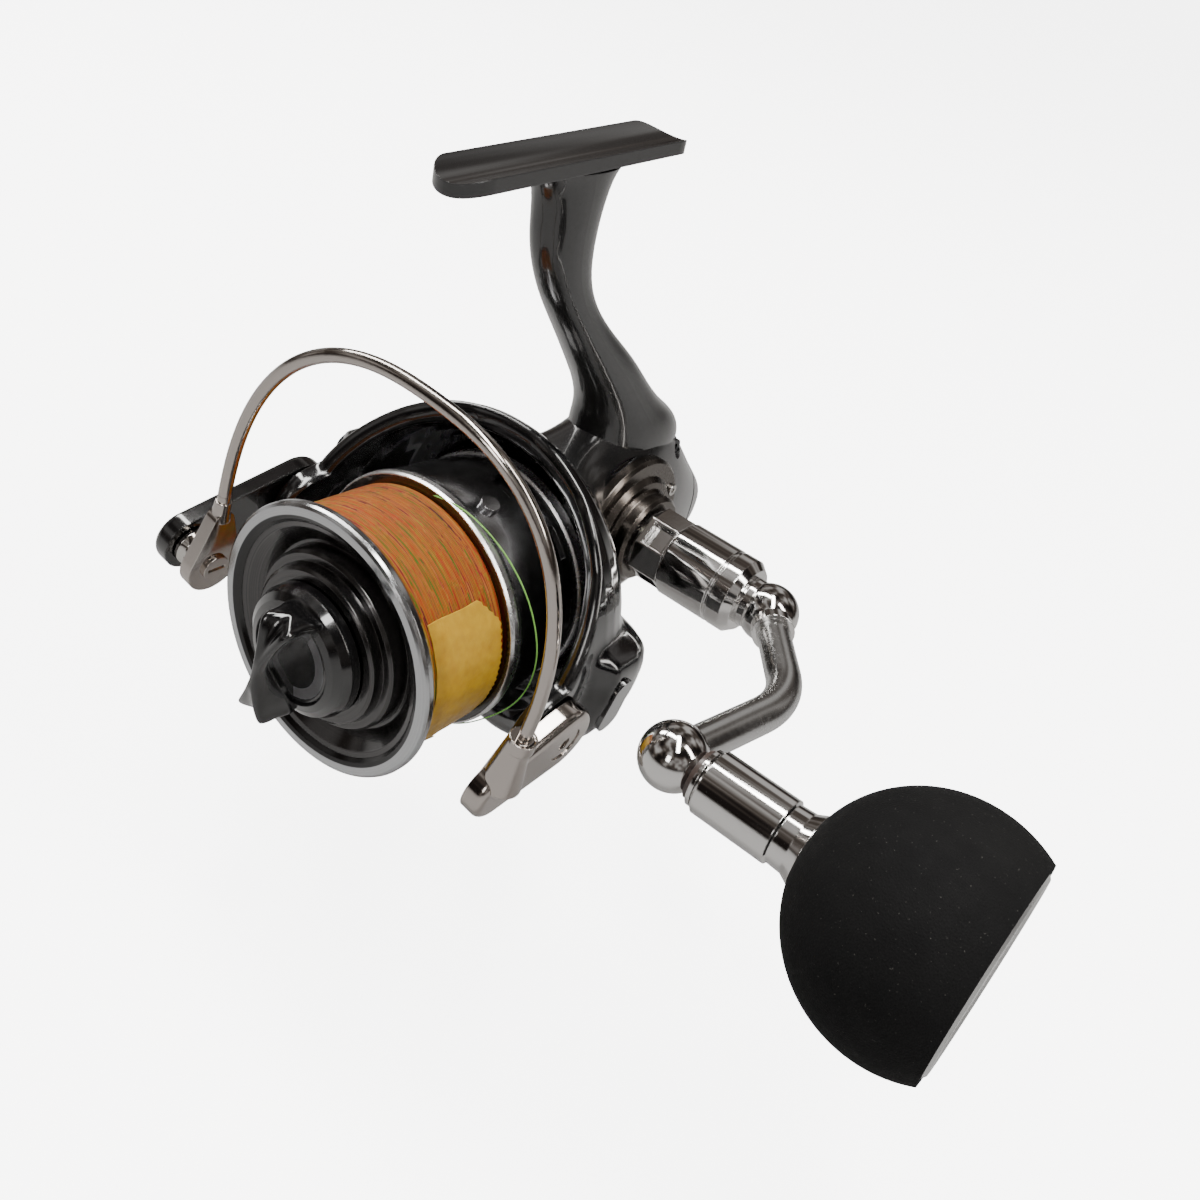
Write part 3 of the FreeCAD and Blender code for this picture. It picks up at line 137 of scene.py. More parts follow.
# rounded edges: the normal of a small bevel, and how far it leans off the flat one
tree, given, made = new_group("rounded_edges", [("Radius", "Float", 0.0003)],
                              [("Normal", "Vector"), ("Edge", "Float")])
bevel = add_node(tree, "ShaderNodeBevel", {"Radius": given["Radius"]}, samples=4)
flat = add_node(tree, "ShaderNodeNewGeometry")
lean = add_node(tree, "ShaderNodeVectorMath", {0: bevel.outputs[0], 1: flat.outputs["Normal"]},
                operation="DOT_PRODUCT")
edge = maths(tree, "MULTIPLY", maths(tree, "SUBTRACT", 1.0, lean.outputs["Value"]), EDGE_GAIN)
edge = add_node(tree, "ShaderNodeClamp", {"Value": edge}).outputs[0]
tree.links.new(bevel.outputs[0], made["Normal"])
tree.links.new(edge, made["Edge"])

# grain: fine noise spread between a low and a high value, over a slower cloud of rubbed patches
tree, given, made = new_group("grain", [("Scale", "Float", 400.0), ("Low", "Float", 0.2),
                                        ("High", "Float", 0.3)], [("Value", "Float")])
place = add_node(tree, "ShaderNodeTexCoord").outputs["Object"]
fine = add_node(tree, "ShaderNodeTexNoise", {"Vector": place, "Scale": given["Scale"],
                                             "Detail": 4.0}).outputs[0]
slow = add_node(tree, "ShaderNodeTexNoise", {"Vector": place, "Scale": 45.0, "Detail": 3.0}).outputs[0]
both = maths(tree, "MULTIPLY_ADD", slow, 0.6, maths(tree, "MULTIPLY", fine, 0.4))
spread = add_node(tree, "ShaderNodeMapRange", {"Value": both, "From Min": 0.35, "From Max": 0.65,
                                               "To Min": given["Low"], "To Max": given["High"]})
tree.links.new(spread.outputs[0], made["Value"])

# pits: a shallow bump of fine noise on top of another normal
tree, given, made = new_group("pits", [("Scale", "Float", 900.0), ("Depth", "Float", 0.00002),
                                       ("Normal", "Vector", (0.0, 0.0, 0.0))], [("Normal", "Vector")])
place = add_node(tree, "ShaderNodeTexCoord").outputs["Object"]
fine = add_node(tree, "ShaderNodeTexNoise", {"Vector": place, "Scale": given["Scale"],
                                             "Detail": 3.0}).outputs[0]
bump = add_node(tree, "ShaderNodeBump", {"Height": fine, "Distance": given["Depth"], "Strength": 1.0,
                                         "Normal": given["Normal"]})
tree.links.new(bump.outputs[0], made["Normal"])


def finish(name, colour, edge_colour=None, rough=(0.2, 0.3), grain=400.0, pits=900.0, depth=0.00001,
           radius=0.0003, **sockets):
    """Painted or metal finish: grained roughness, rounded edges and fine pits, and plain sockets."""
    material = bpy.data.materials.new(name)
    material.use_nodes = True
    tree = material.node_tree
    shader = tree.nodes["Principled BSDF"]
    shader.inputs["Base Color"].default_value = (*colour, 1.0)
    for key, value in sockets.items():
        shader.inputs[key.replace("_", " ")].default_value = value
    edges = use_group(tree, "rounded_edges", Radius=radius)
    tone = use_group(tree, "grain", Scale=grain, Low=rough[0], High=rough[1])["Value"]
    tree.links.new(tone, shader.inputs["Roughness"])
    bumped = use_group(tree, "pits", Scale=pits, Depth=depth, Normal=edges["Normal"])["Normal"]
    tree.links.new(bumped, shader.inputs["Normal"])
    if edge_colour:
        mixed = add_node(tree, "ShaderNodeMix", {"Factor": edges["Edge"], "A": (*colour, 1.0),
                                                 "B": (*edge_colour, 1.0)}, data_type="RGBA")
        tree.links.new(mixed.outputs["Result"], shader.inputs["Base Color"])
    return material


def dress(material, *names):
    """Gives a finish to these CAD nodes."""
    for name in names:
        for material_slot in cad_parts[name].material_slots:
            material_slot.material = material


charcoal = finish("charcoal_paint", (0.0105, 0.0105, 0.0108), (0.018, 0.018, 0.0185), rough=(0.22, 0.27),
                  grain=500.0, pits=600.0, depth=0.0000008, radius=0.0004, Metallic=0.2,
                  Coat_Weight=0.8, Coat_Roughness=0.07)
dress(charcoal, "body_housing", "side_cover", "tail_cover", "cover_cap")
screw_black = finish("blackened_screws", (0.05, 0.05, 0.052), (0.25, 0.25, 0.25), rough=(0.22, 0.34),
                     radius=0.00015, Metallic=1.0)
dress(screw_black, "cover_screw_1", "cover_screw_2", "cover_screw_3", "body_screw")

# ---------------------------------------------------------------- handle boss
# A stepped aluminium boss, anodised dark bronze, screwed to the casting round the gear shaft. One
# small screw with a bright ring holds it.
bronze = finish("dark_bronze_anodising", (0.10, 0.088, 0.078), (0.34, 0.31, 0.28), rough=(0.20, 0.30),
                grain=700.0, radius=0.00035, Metallic=1.0)
dress(bronze, "gear_boss")
steel = finish("steel", (0.50, 0.49, 0.47), (0.75, 0.74, 0.72), rough=(0.16, 0.30), radius=0.0002,
               Metallic=1.0)
dress(steel, "boss_screw", "handle_bearing", "cover_bearing", "pinion_bearing", "knob_bearing_1",
      "knob_bearing_2", "roller_bearing", "slider_rail_1", "slider_rail_2", "main_shaft", "rotor_nut",
      "one_way_clutch", "spool_seat")

# ---------------------------------------------------------------- gears and slider
# The drive gear and slide gear are machined alloy, the pinion is brass, and the slider is a moulded
# block. They sit inside the casting and show only from inside.
gear_alloy = finish("gear_alloy", (0.62, 0.60, 0.55), (0.8, 0.78, 0.72), rough=(0.28, 0.42), radius=0.0001,
                    Metallic=1.0)
dress(gear_alloy, "drive_gear", "slide_pinion")
brass = finish("brass", (0.62, 0.42, 0.14), (0.85, 0.65, 0.3), rough=(0.22, 0.36), radius=0.0001,
               Metallic=1.0)
dress(brass, "pinion_gear")
white_moulding = finish("white_moulding", (0.72, 0.71, 0.66), rough=(0.42, 0.55))
dress(white_moulding, "slide_gear", "slider_block")

# ---------------------------------------------------------------- handle
# A turned shank, sleeve and ball elbow in polished chrome carry a bent arm in a satin finish. The
# arm ends in a chrome ball, and the knob's steel post is fixed in it.
chrome = finish("polished_chrome", (0.66, 0.65, 0.64), (0.80, 0.79, 0.78), rough=(0.05, 0.11), grain=60.0,
                pits=160.0, depth=0.000012, radius=0.0004, Metallic=1.0)
dress(chrome, "handle_shank", "handle_sleeve", "handle_elbow", "knob_socket", "knob_sleeve")
satin = finish("satin_chrome", (0.50, 0.50, 0.495), (0.68, 0.68, 0.67), rough=(0.20, 0.30), grain=900.0,
               radius=0.0003, Metallic=1.0)
dress(satin, "handle_arm", "knob_post", "knob_end_cap")

# ---------------------------------------------------------------- knob
# A ball of closed-cell foam, turned and left matt, with fine cells, a few pale specks and dust. It
# turns on two bearings, behind two thin rings.
FOAM_CELL = 2600.0


def foam_black():
    """Near-black foam: cell bump from a fine Voronoi pattern, with sparse pale specks."""
    material = bpy.data.materials.new("foam_black")
    material.use_nodes = True
    tree = material.node_tree
    shader = tree.nodes["Principled BSDF"]
    shader.inputs["Specular IOR Level"].default_value = 0.14
    place = add_node(tree, "ShaderNodeTexCoord").outputs["Object"]
    cells = add_node(tree, "ShaderNodeTexVoronoi", {"Vector": place, "Scale": FOAM_CELL})
    skin = add_node(tree, "ShaderNodeTexNoise", {"Vector": place, "Scale": 260.0, "Detail": 6.0}).outputs[0]
    height = maths(tree, "MULTIPLY_ADD", cells.outputs["Distance"], 0.7, maths(tree, "MULTIPLY", skin, 0.8))
    bump = add_node(tree, "ShaderNodeBump", {"Height": height, "Distance": 0.00012, "Strength": 0.7})
    tree.links.new(bump.outputs[0], shader.inputs["Normal"])
    dust = add_node(tree, "ShaderNodeTexNoise", {"Vector": place, "Scale": 1900.0, "Detail": 2.0}).outputs[0]
    speck = add_node(tree, "ShaderNodeMapRange", {"Value": dust, "From Min": 0.70, "From Max": 0.76})
    cloud = use_group(tree, "grain", Scale=120.0, Low=0.0, High=1.0)["Value"]
    base = add_node(tree, "ShaderNodeMix", {"Factor": cloud, "A": (0.0030, 0.0030, 0.0032, 1.0),
                                            "B": (0.0062, 0.0062, 0.0062, 1.0)}, data_type="RGBA")
    tint = add_node(tree, "ShaderNodeMix", {"Factor": speck.outputs[0], "A": base.outputs["Result"],
                                            "B": (0.045, 0.043, 0.040, 1.0)}, data_type="RGBA")
    tree.links.new(tint.outputs["Result"], shader.inputs["Base Color"])
    rough = use_group(tree, "grain", Scale=300.0, Low=0.78, High=0.94)["Value"]
    tree.links.new(rough, shader.inputs["Roughness"])
    return material


dress(foam_black(), "knob_ball")
dark_ring = finish("dark_rings", (0.05, 0.035, 0.03), (0.2, 0.16, 0.14), rough=(0.3, 0.4), radius=0.00015)
dress(dark_ring, "knob_ring_1")
dress(chrome, "knob_ring_2")

# ---------------------------------------------------------------- rotor
# A one-piece moulding in gloss black lacquer: a flared cup round the spool's skirt with two arms,
# each closed by a thin cover.
lacquer = finish("gloss_black_lacquer", (0.003, 0.003, 0.0033), (0.012, 0.012, 0.012), rough=(0.08, 0.15),
                 grain=200.0, pits=140.0, depth=0.00003, radius=0.0009, Coat_Weight=1.0, Coat_Roughness=0.03)
dress(lacquer, "rotor_shell", "arm_cover_left", "arm_cover_right")

shaft_low, shaft_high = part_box("main_shaft")
AXLE_Z = (shaft_low[2] + shaft_high[2]) / 2
ROTOR_TURN = math.radians(9.5)
ROTOR_COLUMNS = 720
PIVOT_DROP = 3.2 * MM
PIVOT_RADIUS = 9.0 * MM
PIVOT_BACK = 30.1 * MM
SADDLE_RADIUS = 40.0 * MM       # at which the pivots stand off the axle
WALL = 3.4 * MM
LIP_BULGE = 1.6 * MM
FLOOR_RADIUS = 20.0 * MM
CUP_OUTSIDE, CUP_INSIDE, CUP_DEPTH = 24.8 * MM, 22.6 * MM, 24.6 * MM
HUB_RADIUS = 9.0 * MM
SHAFT_HOLE = 4.2 * MM


def grid_piece(name, points, body, material, uv=None, wrap_rows=False, wrap_columns=False,
               smooth=True):
    """Mesh piece from a (rows, columns, 3) array, joined round either way, riding on a body."""
    rows, columns, _ = points.shape
    index = np.arange(rows * columns).reshape(rows, columns)
    down = np.roll(index, -1, axis=0) if wrap_rows else index[1:]
    upper = index if wrap_rows else index[:-1]
    if wrap_columns:
        corners = (upper, np.roll(upper, -1, axis=1), np.roll(down, -1, axis=1), down)
    else:
        corners = (upper[:, :-1], upper[:, 1:], down[:, 1:], down[:, :-1])
    quads = np.stack(corners, axis=-1).reshape(-1, 4)
    mesh = bpy.data.meshes.new(name)
    mesh.from_pydata(points.reshape(-1, 3).tolist(), [], quads.tolist())
    if uv is not None:
        layer = mesh.uv_layers.new(name="turns")
        layer.data.foreach_set("uv", uv[quads.ravel()].astype(np.float32).ravel())
    shape = bmesh.new()
    shape.from_mesh(mesh)
    bmesh.ops.remove_doubles(shape, verts=shape.verts, dist=1e-7)
    bmesh.ops.recalc_face_normals(shape, faces=shape.faces)
    shape.to_mesh(mesh)
    shape.free()
    mesh.polygons.foreach_set("use_smooth", np.full(len(mesh.polygons), smooth))
    mesh.materials.append(material)
    piece = bpy.data.objects.new(name, mesh)
    bpy.context.scene.collection.objects.link(piece)
    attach(piece, body)
    return piece


def round_axle(radius, y, angle):
    """Points at a radius and angle round the spool's axis, the angle from +X towards +Z."""
    radius, y, angle = np.broadcast_arrays(radius, y, angle)
    return np.stack([radius * np.cos(angle), y, AXLE_Z + radius * np.sin(angle)], axis=-1)


def rotor_surface():
    """Saddle round the axle: for each angle the section runs out along the back, forward over the
    flared outside to the saddle's front edge, round a soft lip and back along the inside. The front
    edge dips back between the arms and is a half circle about each bail pivot; the outside swells
    into a rib behind each pivot."""
    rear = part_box("rotor_shell")[1][1]
    turn = np.linspace(-np.pi, np.pi, ROTOR_COLUMNS, endpoint=False)
    height = np.sin(turn)
    flank = np.degrees(np.arcsin(np.abs(height)))
    above = np.interp(flank, [0, 11.5, 24.4, 41.5, 65.8, 90], [30.1, 27.1, 22.6, 16.6, 11.8, 10.4])
    below = np.interp(flank, [0, 19.0, 27.5, 41.5, 65.8, 90], [30.1, 27.1, 22.6, 16.6, 11.8, 10.4])
    edge = np.where(height > 0, above, below) * MM
    off = SADDLE_RADIUS * height + PIVOT_DROP
    nose = PIVOT_BACK + np.sqrt(np.clip(PIVOT_RADIUS ** 2 - off ** 2, 0, None))
    for _ in range(6):
        edge = (np.roll(edge, 1) + edge + np.roll(edge, -1)) / 3
    edge = np.where(np.abs(off) < PIVOT_RADIUS, nose, np.minimum(edge, PIVOT_BACK))
    for _ in range(2):
        edge = (np.roll(edge, 1) + 2 * edge + np.roll(edge, -1)) / 4
    behind = [0.0, 1.2, 3.0, 6.0, 9.0, 13.0, 17.0, 22.0, 26.0, 40.0]
    plain = np.array([29.0, 32.6, 35.4, 37.8, 39.4, 40.7, 41.4, 41.8, 42.0, 42.0])
    ribbed = np.array([34.8, 41.0, 44.0, 45.8, 46.5, 46.6, 46.6, 42.0, 42.0, 42.0])
    inside = np.array([26.0, 27.0, 28.0, 31.4, 33.4, 35.4, 36.6, 37.3, 37.6, 37.6])
    lean = np.degrees(np.arcsin(np.clip(height + 0.03, -1, 1)))
    swell = 1 / (1 + np.exp((np.abs(lean) - 17.0) / 1.3))

    steps = 0.5 - 0.5 * np.cos(np.linspace(0, np.pi, 44))[:, None]
    depth = edge[None, :] * steps
    rib = np.interp(depth, np.array(behind) * MM, ribbed * MM)
    outer = np.interp(depth, np.array(behind) * MM, plain * MM)
    outer = outer + (rib - outer) * swell[None, :]
    inner_depth = WALL + (edge[None, :] - WALL) * steps[::-1]
    inner = np.interp(inner_depth, np.array(behind) * MM, inside * MM)
    bow = np.linspace(0, np.pi, 12)[1:-1, None]
    middle, half = (outer[-1] + inner[0]) / 2, (outer[-1] - inner[0]) / 2
    lip = middle + half * np.cos(bow)
    lip_depth = edge[None, :] - LIP_BULGE + LIP_BULGE * np.sin(bow)
    outer_depth = depth - LIP_BULGE * steps
    inner_depth = inner_depth - LIP_BULGE * steps[::-1]
    floor_ring = np.full((1, ROTOR_COLUMNS), FLOOR_RADIUS)
    radius = np.concatenate([floor_ring, outer, lip, inner, floor_ring])
    y = rear - np.concatenate([np.zeros_like(floor_ring), outer_depth, lip_depth, inner_depth,
                               np.full_like(floor_ring, WALL)])
    points = round_axle(radius, y, turn[None, :] - ROTOR_TURN)
    return grid_piece("rotor_casting", points, "rotor", lacquer, wrap_rows=True,
                      wrap_columns=True)


def turned_piece(name, profile, body, material, columns=96):
    """Closed section of (radius, y) corners carried once round the spool's axis."""
    profile = np.array(profile)
    turn = np.linspace(0, 2 * np.pi, columns, endpoint=False)[None, :]
    points = round_axle(profile[:, :1], profile[:, 1:], turn)
    piece = grid_piece(name, points, body, material, wrap_rows=True, wrap_columns=True,
                       smooth=False)
    rounding = piece.modifiers.new("rounding", "BEVEL")
    rounding.width = 0.3 * MM
    rounding.segments = 2
    rounding.limit_method = "ANGLE"
    return piece


rotor_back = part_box("rotor_shell")[1][1]
rotor = rotor_surface()
cup_front, cup_back = rotor_back - CUP_DEPTH, rotor_back - 0.1 * MM
turned_piece("rotor_cup", [(CUP_OUTSIDE, cup_front), (CUP_OUTSIDE, cup_back), (CUP_INSIDE, cup_back),
                           (CUP_INSIDE, cup_front)], "rotor", lacquer)
nut_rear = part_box("rotor_nut")[1][1]
hub_front, hub_back = rotor_back - WALL, rotor_back - 0.05 * MM
turned_piece("rotor_hub", [(HUB_RADIUS, nut_rear), (HUB_RADIUS, hub_front), (CUP_INSIDE, hub_front),
                           (CUP_INSIDE, hub_back), (SHAFT_HOLE, hub_back), (SHAFT_HOLE, nut_rear)],
             "rotor", lacquer)
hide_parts("rotor_shell")

# ---------------------------------------------------------------- bail
# A bent wire, plated in a slightly smoky nickel, between a plated lever on the right arm and a
# roller cap over the line roller on the left, whose lever is black.
smoky = finish("smoky_nickel", (0.47, 0.43, 0.40), (0.70, 0.66, 0.62), rough=(0.07, 0.15), grain=90.0,
               pits=220.0, depth=0.00001, radius=0.0004, Metallic=1.0)
dress(smoky, "bail_wire", "wire_socket", "roller_cap", "bail_lever_right", "pivot_screw_right",
      "roller_screw")
dress(lacquer, "bail_lever_left")
dress(screw_black, "pivot_screw_left")
hard_chrome = finish("roller_chrome", (0.55, 0.53, 0.50), (0.8, 0.78, 0.74), rough=(0.05, 0.1),
                     radius=0.0002, Metallic=1.0)
dress(hard_chrome, "line_roller")

# ---------------------------------------------------------------- spool
# Turned aluminium: a dished, dark anodised front with fine tool lines, a wide polished lip, and a
# dark skirt with windows between two bright bands, all about the main shaft.
TOOL_LINE_SCALE = 3600.0

# tool lines: noise that depends only on the distance from an axis, as a lathe leaves it
tree, given, made = new_group("tool_lines", [("Centre", "Vector", (0.0, 0.0, 0.0)),
                                             ("Across", "Vector", (1.0, 0.0, 1.0)),
                                             ("Scale", "Float", 3000.0)],
                              [("Value", "Float"), ("Radius", "Float")])
place = add_node(tree, "ShaderNodeTexCoord").outputs["Object"]
place = add_node(tree, "ShaderNodeVectorMath", {0: place, 1: given["Centre"]},
                 operation="SUBTRACT").outputs[0]
place = add_node(tree, "ShaderNodeVectorMath", {0: place, 1: given["Across"]},
                 operation="MULTIPLY").outputs[0]
reach = add_node(tree, "ShaderNodeVectorMath", {0: place}, operation="LENGTH").outputs["Value"]
along = maths(tree, "MULTIPLY", reach, given["Scale"])
lines = add_node(tree, "ShaderNodeTexNoise", {"W": along, "Scale": 1.0, "Detail": 2.0},
                 noise_dimensions="1D").outputs[0]
tree.links.new(lines, made["Value"])
tree.links.new(reach, made["Radius"])


def turned_finish(name, colour, light, rough, line_depth, **sockets):
    """Turned metal: tool lines tint it and stand in a shallow bump about the spool's axis."""
    material = finish(name, colour, rough=rough, radius=0.0003, **sockets)
    tree = material.node_tree
    shader = tree.nodes["Principled BSDF"]
    rings = use_group(tree, "tool_lines", Centre=(0.0, 0.0, AXLE_Z), Scale=TOOL_LINE_SCALE)["Value"]
    mixed = add_node(tree, "ShaderNodeMix", {"Factor": rings, "A": (*colour, 1.0), "B": (*light, 1.0)},
                     data_type="RGBA")
    tree.links.new(mixed.outputs["Result"], shader.inputs["Base Color"])
    before = shader.inputs["Normal"].links[0].from_socket
    bump = add_node(tree, "ShaderNodeBump", {"Height": rings, "Distance": line_depth, "Strength": 0.6,
                                             "Normal": before})
    tree.links.new(bump.outputs[0], shader.inputs["Normal"])
    return material


def painted_skirt_reflection(material, limit, colour):
    """Paints the finish paler behind a distance along the axle, where the skirt begins: a painted reflection
    of bright surroundings on the dark skirt.
    """
    tree = material.node_tree
    shader = tree.nodes["Principled BSDF"]
    place = add_node(tree, "ShaderNodeTexCoord").outputs["Object"]
    along = add_node(tree, "ShaderNodeSeparateXYZ", {0: place}).outputs["Y"]
    share = add_node(tree, "ShaderNodeMapRange", {"Value": along, "From Min": limit,
                                                  "From Max": limit + 0.002})
    before = shader.inputs["Base Color"].links[0].from_socket
    mixed = add_node(tree, "ShaderNodeMix", {"Factor": share.outputs[0], "A": before, "B": (*colour, 1.0)},
                     data_type="RGBA")
    tree.links.new(mixed.outputs["Result"], shader.inputs["Base Color"])


spool_dark = turned_finish("turned_gunmetal", (0.035, 0.034, 0.034), (0.105, 0.102, 0.102), (0.17, 0.25),
                           0.00002, Metallic=1.0, Coat_Weight=0.4, Coat_Roughness=0.05)
# painted reflection: behind the front band the skirt gets a pale grey base colour in place of bright
# surroundings mirrored in it
painted_skirt_reflection(spool_dark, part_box("skirt_band_front")[0][1], (0.34, 0.34, 0.35))
dress(spool_dark, "spool_core", "line_clip")
rim_silver = turned_finish("polished_rim", (0.40, 0.41, 0.42), (0.58, 0.59, 0.60), (0.14, 0.22), 0.000008,
                           Metallic=1.0)
band_silver = turned_finish("polished_bands", (0.62, 0.62, 0.63), (0.80, 0.80, 0.81), (0.22, 0.32), 0.000008,
                            Metallic=1.0)
dress(band_silver, "skirt_band_front", "skirt_band_rear")
LIP_DARK_INSIDE = 27.9 * MM


def dark_inside(material, colour):
    """Darkens a turned finish inside a radius, where the polishing of the lip stops."""
    tree = material.node_tree
    shader = tree.nodes["Principled BSDF"]
    reach = use_group(tree, "tool_lines", Centre=(0.0, 0.0, AXLE_Z))["Radius"]
    polished = add_node(tree, "ShaderNodeMapRange", {"Value": reach,
                                                     "From Min": LIP_DARK_INSIDE - 0.1 * MM,
                                                     "From Max": LIP_DARK_INSIDE + 0.1 * MM}).outputs[0]
    before = shader.inputs["Base Color"].links[0].from_socket
    mixed = add_node(tree, "ShaderNodeMix", {"Factor": polished, "A": (*colour, 1.0), "B": before},
                     data_type="RGBA")
    tree.links.new(mixed.outputs["Result"], shader.inputs["Base Color"])


dark_inside(rim_silver, (0.05, 0.05, 0.05))
dress(rim_silver, "spool_lip")
felt = finish("drag_felt", (0.05, 0.05, 0.05), rough=(0.8, 0.95), depth=0.00005)
dress(felt, "drag_washers")

# ---------------------------------------------------------------- wound line
# Five-colour braid laid on by the slide in close, slightly crossing turns. The surface is one
# ridged body, with each turn's colour drawn along the turn.
BRAID_PITCH = 0.36 * MM
BRAID_RIDGE = 0.07 * MM
BRAID_SINK = 0.10 * MM
BRAID_ROWS_PER_TURN = 5
BRAID_COLUMNS = 288
BRAID_DEPTH = 9.0 * MM          # of the whole winding
BRAID_TAPER = 0.6 * MM          # narrower at the back
BRAID_COLOURS = (
    (0.00, (0.260, 0.012, 0.004)), (0.12, (0.360, 0.052, 0.004)), (0.24, (0.420, 0.130, 0.008)),
    (0.32, (0.050, 0.130, 0.006)), (0.39, (0.380, 0.045, 0.004)), (0.46, (0.420, 0.100, 0.006)),
    (0.52, (0.190, 0.230, 0.010)), (0.57, (0.380, 0.060, 0.005)), (0.64, (0.440, 0.170, 0.030)),
    (0.70, (0.300, 0.020, 0.012)), (0.76, (0.035, 0.010, 0.010)), (0.81, (0.420, 0.120, 0.010)),
    (0.90, (0.045, 0.115, 0.006)), (1.00, (0.380, 0.080, 0.008)))


def braid_material():
    """Braid: each turn takes a colour from a noise along the turns, broken where turns cross over; painted
    shade darkens the grooves between turns.
    """
    material = bpy.data.materials.new("braid")
    material.use_nodes = True
    tree = material.node_tree
    shader = tree.nodes["Principled BSDF"]
    shader.inputs["Specular IOR Level"].default_value = 0.25
    where = add_node(tree, "ShaderNodeUVMap", uv_map="turns").outputs[0]
    split = add_node(tree, "ShaderNodeSeparateXYZ", {0: where}).outputs
    angle, turn = split["X"], split["Y"]
    layers = []
    for slant, seed in ((9.0, 3.1), (-7.0, 17.7)):
        lane = maths(tree, "MULTIPLY_ADD", angle, slant, turn)
        lane = maths(tree, "ADD", lane, seed)
        spot = add_node(tree, "ShaderNodeCombineXYZ", {"X": maths(tree, "MULTIPLY", angle, 5.0), "Y": lane})
        layers.append(add_node(tree, "ShaderNodeTexNoise", {"Vector": spot.outputs[0], "Scale": 0.30,
                                                            "Detail": 0.0}).outputs[0])
    patch = add_node(tree, "ShaderNodeCombineXYZ", {"X": maths(tree, "MULTIPLY", angle, 22.0),
                                                    "Y": maths(tree, "MULTIPLY", turn, 0.45)}).outputs[0]
    over = add_node(tree, "ShaderNodeTexNoise", {"Vector": patch, "Scale": 1.0, "Detail": 2.0}).outputs[0]
    over = add_node(tree, "ShaderNodeMapRange", {"Value": over, "From Min": 0.47,
                                                 "From Max": 0.53}).outputs[0]
    lane = add_node(tree, "ShaderNodeMix", {"Factor": over, "A": layers[0], "B": layers[1]}).outputs[0]
    spread = add_node(tree, "ShaderNodeMapRange", {"Value": lane, "From Min": 0.28,
                                                   "From Max": 0.72}).outputs[0]
    ramp = add_node(tree, "ShaderNodeValToRGB", {"Fac": spread})
    ramp.color_ramp.interpolation = "CONSTANT"
    stops = ramp.color_ramp.elements
    while len(stops) < len(BRAID_COLOURS):
        stops.new(0.5)
    for stop, (position, colour) in zip(stops, BRAID_COLOURS):
        stop.position = position
        stop.color = (*colour, 1.0)
    # painted shade: between turns the colour is mixed towards a dark brown, as shade in the grooves
    groove = maths(tree, "ABSOLUTE", maths(tree, "SINE", maths(tree, "MULTIPLY", turn, math.pi)))
    painted_groove_shade = add_node(tree, "ShaderNodeMapRange", {"Value": groove, "To Min": 0.45,
                                                  "To Max": 1.0}).outputs[0]
    dark = add_node(tree, "ShaderNodeMix", {"Factor": painted_groove_shade, "A": (0.060, 0.012, 0.003, 1.0),
                                            "B": ramp.outputs[0]}, data_type="RGBA")
    tree.links.new(dark.outputs["Result"], shader.inputs["Base Color"])
    twist = maths(tree, "MULTIPLY_ADD", angle, 2600.0, maths(tree, "MULTIPLY", turn, 9.0))
    twist = maths(tree, "SINE", twist)
    bump = add_node(tree, "ShaderNodeBump", {"Height": twist, "Distance": 0.00002, "Strength": 0.5})
    tree.links.new(bump.outputs[0], shader.inputs["Normal"])
    rough = use_group(tree, "grain", Scale=900.0, Low=0.5, High=0.72)["Value"]
    tree.links.new(rough, shader.inputs["Roughness"])
    return material


def wound_line():
    """Ring round the axle: its section runs up the front flange, back over the turns and down the
    skirt. Over the turns, radius = straight slope - sink + ridge * |sin(pi * turn)| + slow swells,
    where turn = distance / pitch + angle / (2 pi)."""
    low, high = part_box("line_winding")
    front, rear = low[1], high[1]
    outer = (high[0] - low[0]) / 2
    arbor = outer - BRAID_DEPTH
    rows = int((rear - front) / BRAID_PITCH * BRAID_ROWS_PER_TURN)
    share = np.linspace(0.0, 1.0, rows)[:, None]
    angle = np.linspace(0.0, 2 * np.pi, BRAID_COLUMNS, endpoint=False)[None, :]
    y = front + 0.35 * MM + (rear - front - 0.4 * MM) * share
    turn = (y - front) / BRAID_PITCH + angle / (2 * np.pi)
    swell = np.sin(3 * angle + 5 * share) + np.sin(7 * angle - 11 * share) + np.sin(2 * angle + 19 * share)
    radius = outer - BRAID_TAPER * share - BRAID_SINK + 0.03 * MM * (swell - 2.0)
    radius = radius + BRAID_RIDGE * (np.abs(np.sin(np.pi * turn)) - 0.6)
    radius = radius - 0.5 * MM * np.clip(1 - share * 40, 0, 1) - 0.3 * MM * np.clip(share * 40 - 39, 0, 1)
    over = round_axle(radius, y, angle)
    flange_foot = round_axle(arbor + 0.3 * MM, front + 4.8 * MM, angle)
    flange_top = round_axle(outer - 2.3 * MM, front + 0.75 * MM, angle)
    bottom = round_axle(arbor + 0.3 * MM, rear - 0.1 * MM, angle)
    points = np.concatenate([flange_foot, flange_top, over, bottom])
    lane = np.concatenate([np.zeros((2, 1)), (y - front) / BRAID_PITCH, np.zeros((1, 1))])
    around = np.broadcast_to(angle / (2 * np.pi), points.shape[:2])
    uv = np.stack([around, lane + 0 * around], axis=-1).reshape(-1, 2)
    return grid_piece("wound_line", points, "spool", braid_material(), uv, wrap_rows=True,
                      wrap_columns=True)


winding = wound_line()
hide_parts("line_winding")

# ---------------------------------------------------------------- tape
# A strip of crepe masking tape, torn off on a toothed cutter, stuck over the end of the line. One
# corner was cut away, and it follows the turns underneath.
TAPE_TOP = math.radians(37.0)
TAPE_BOTTOM = math.radians(-47.0)
TAPE_TEETH = 26
TAPE_THICKNESS = 0.12 * MM
TAPE_LIFT = 0.16 * MM
CORNER_CUT = 5.2 * MM
CORNER_END = math.radians(24.0)


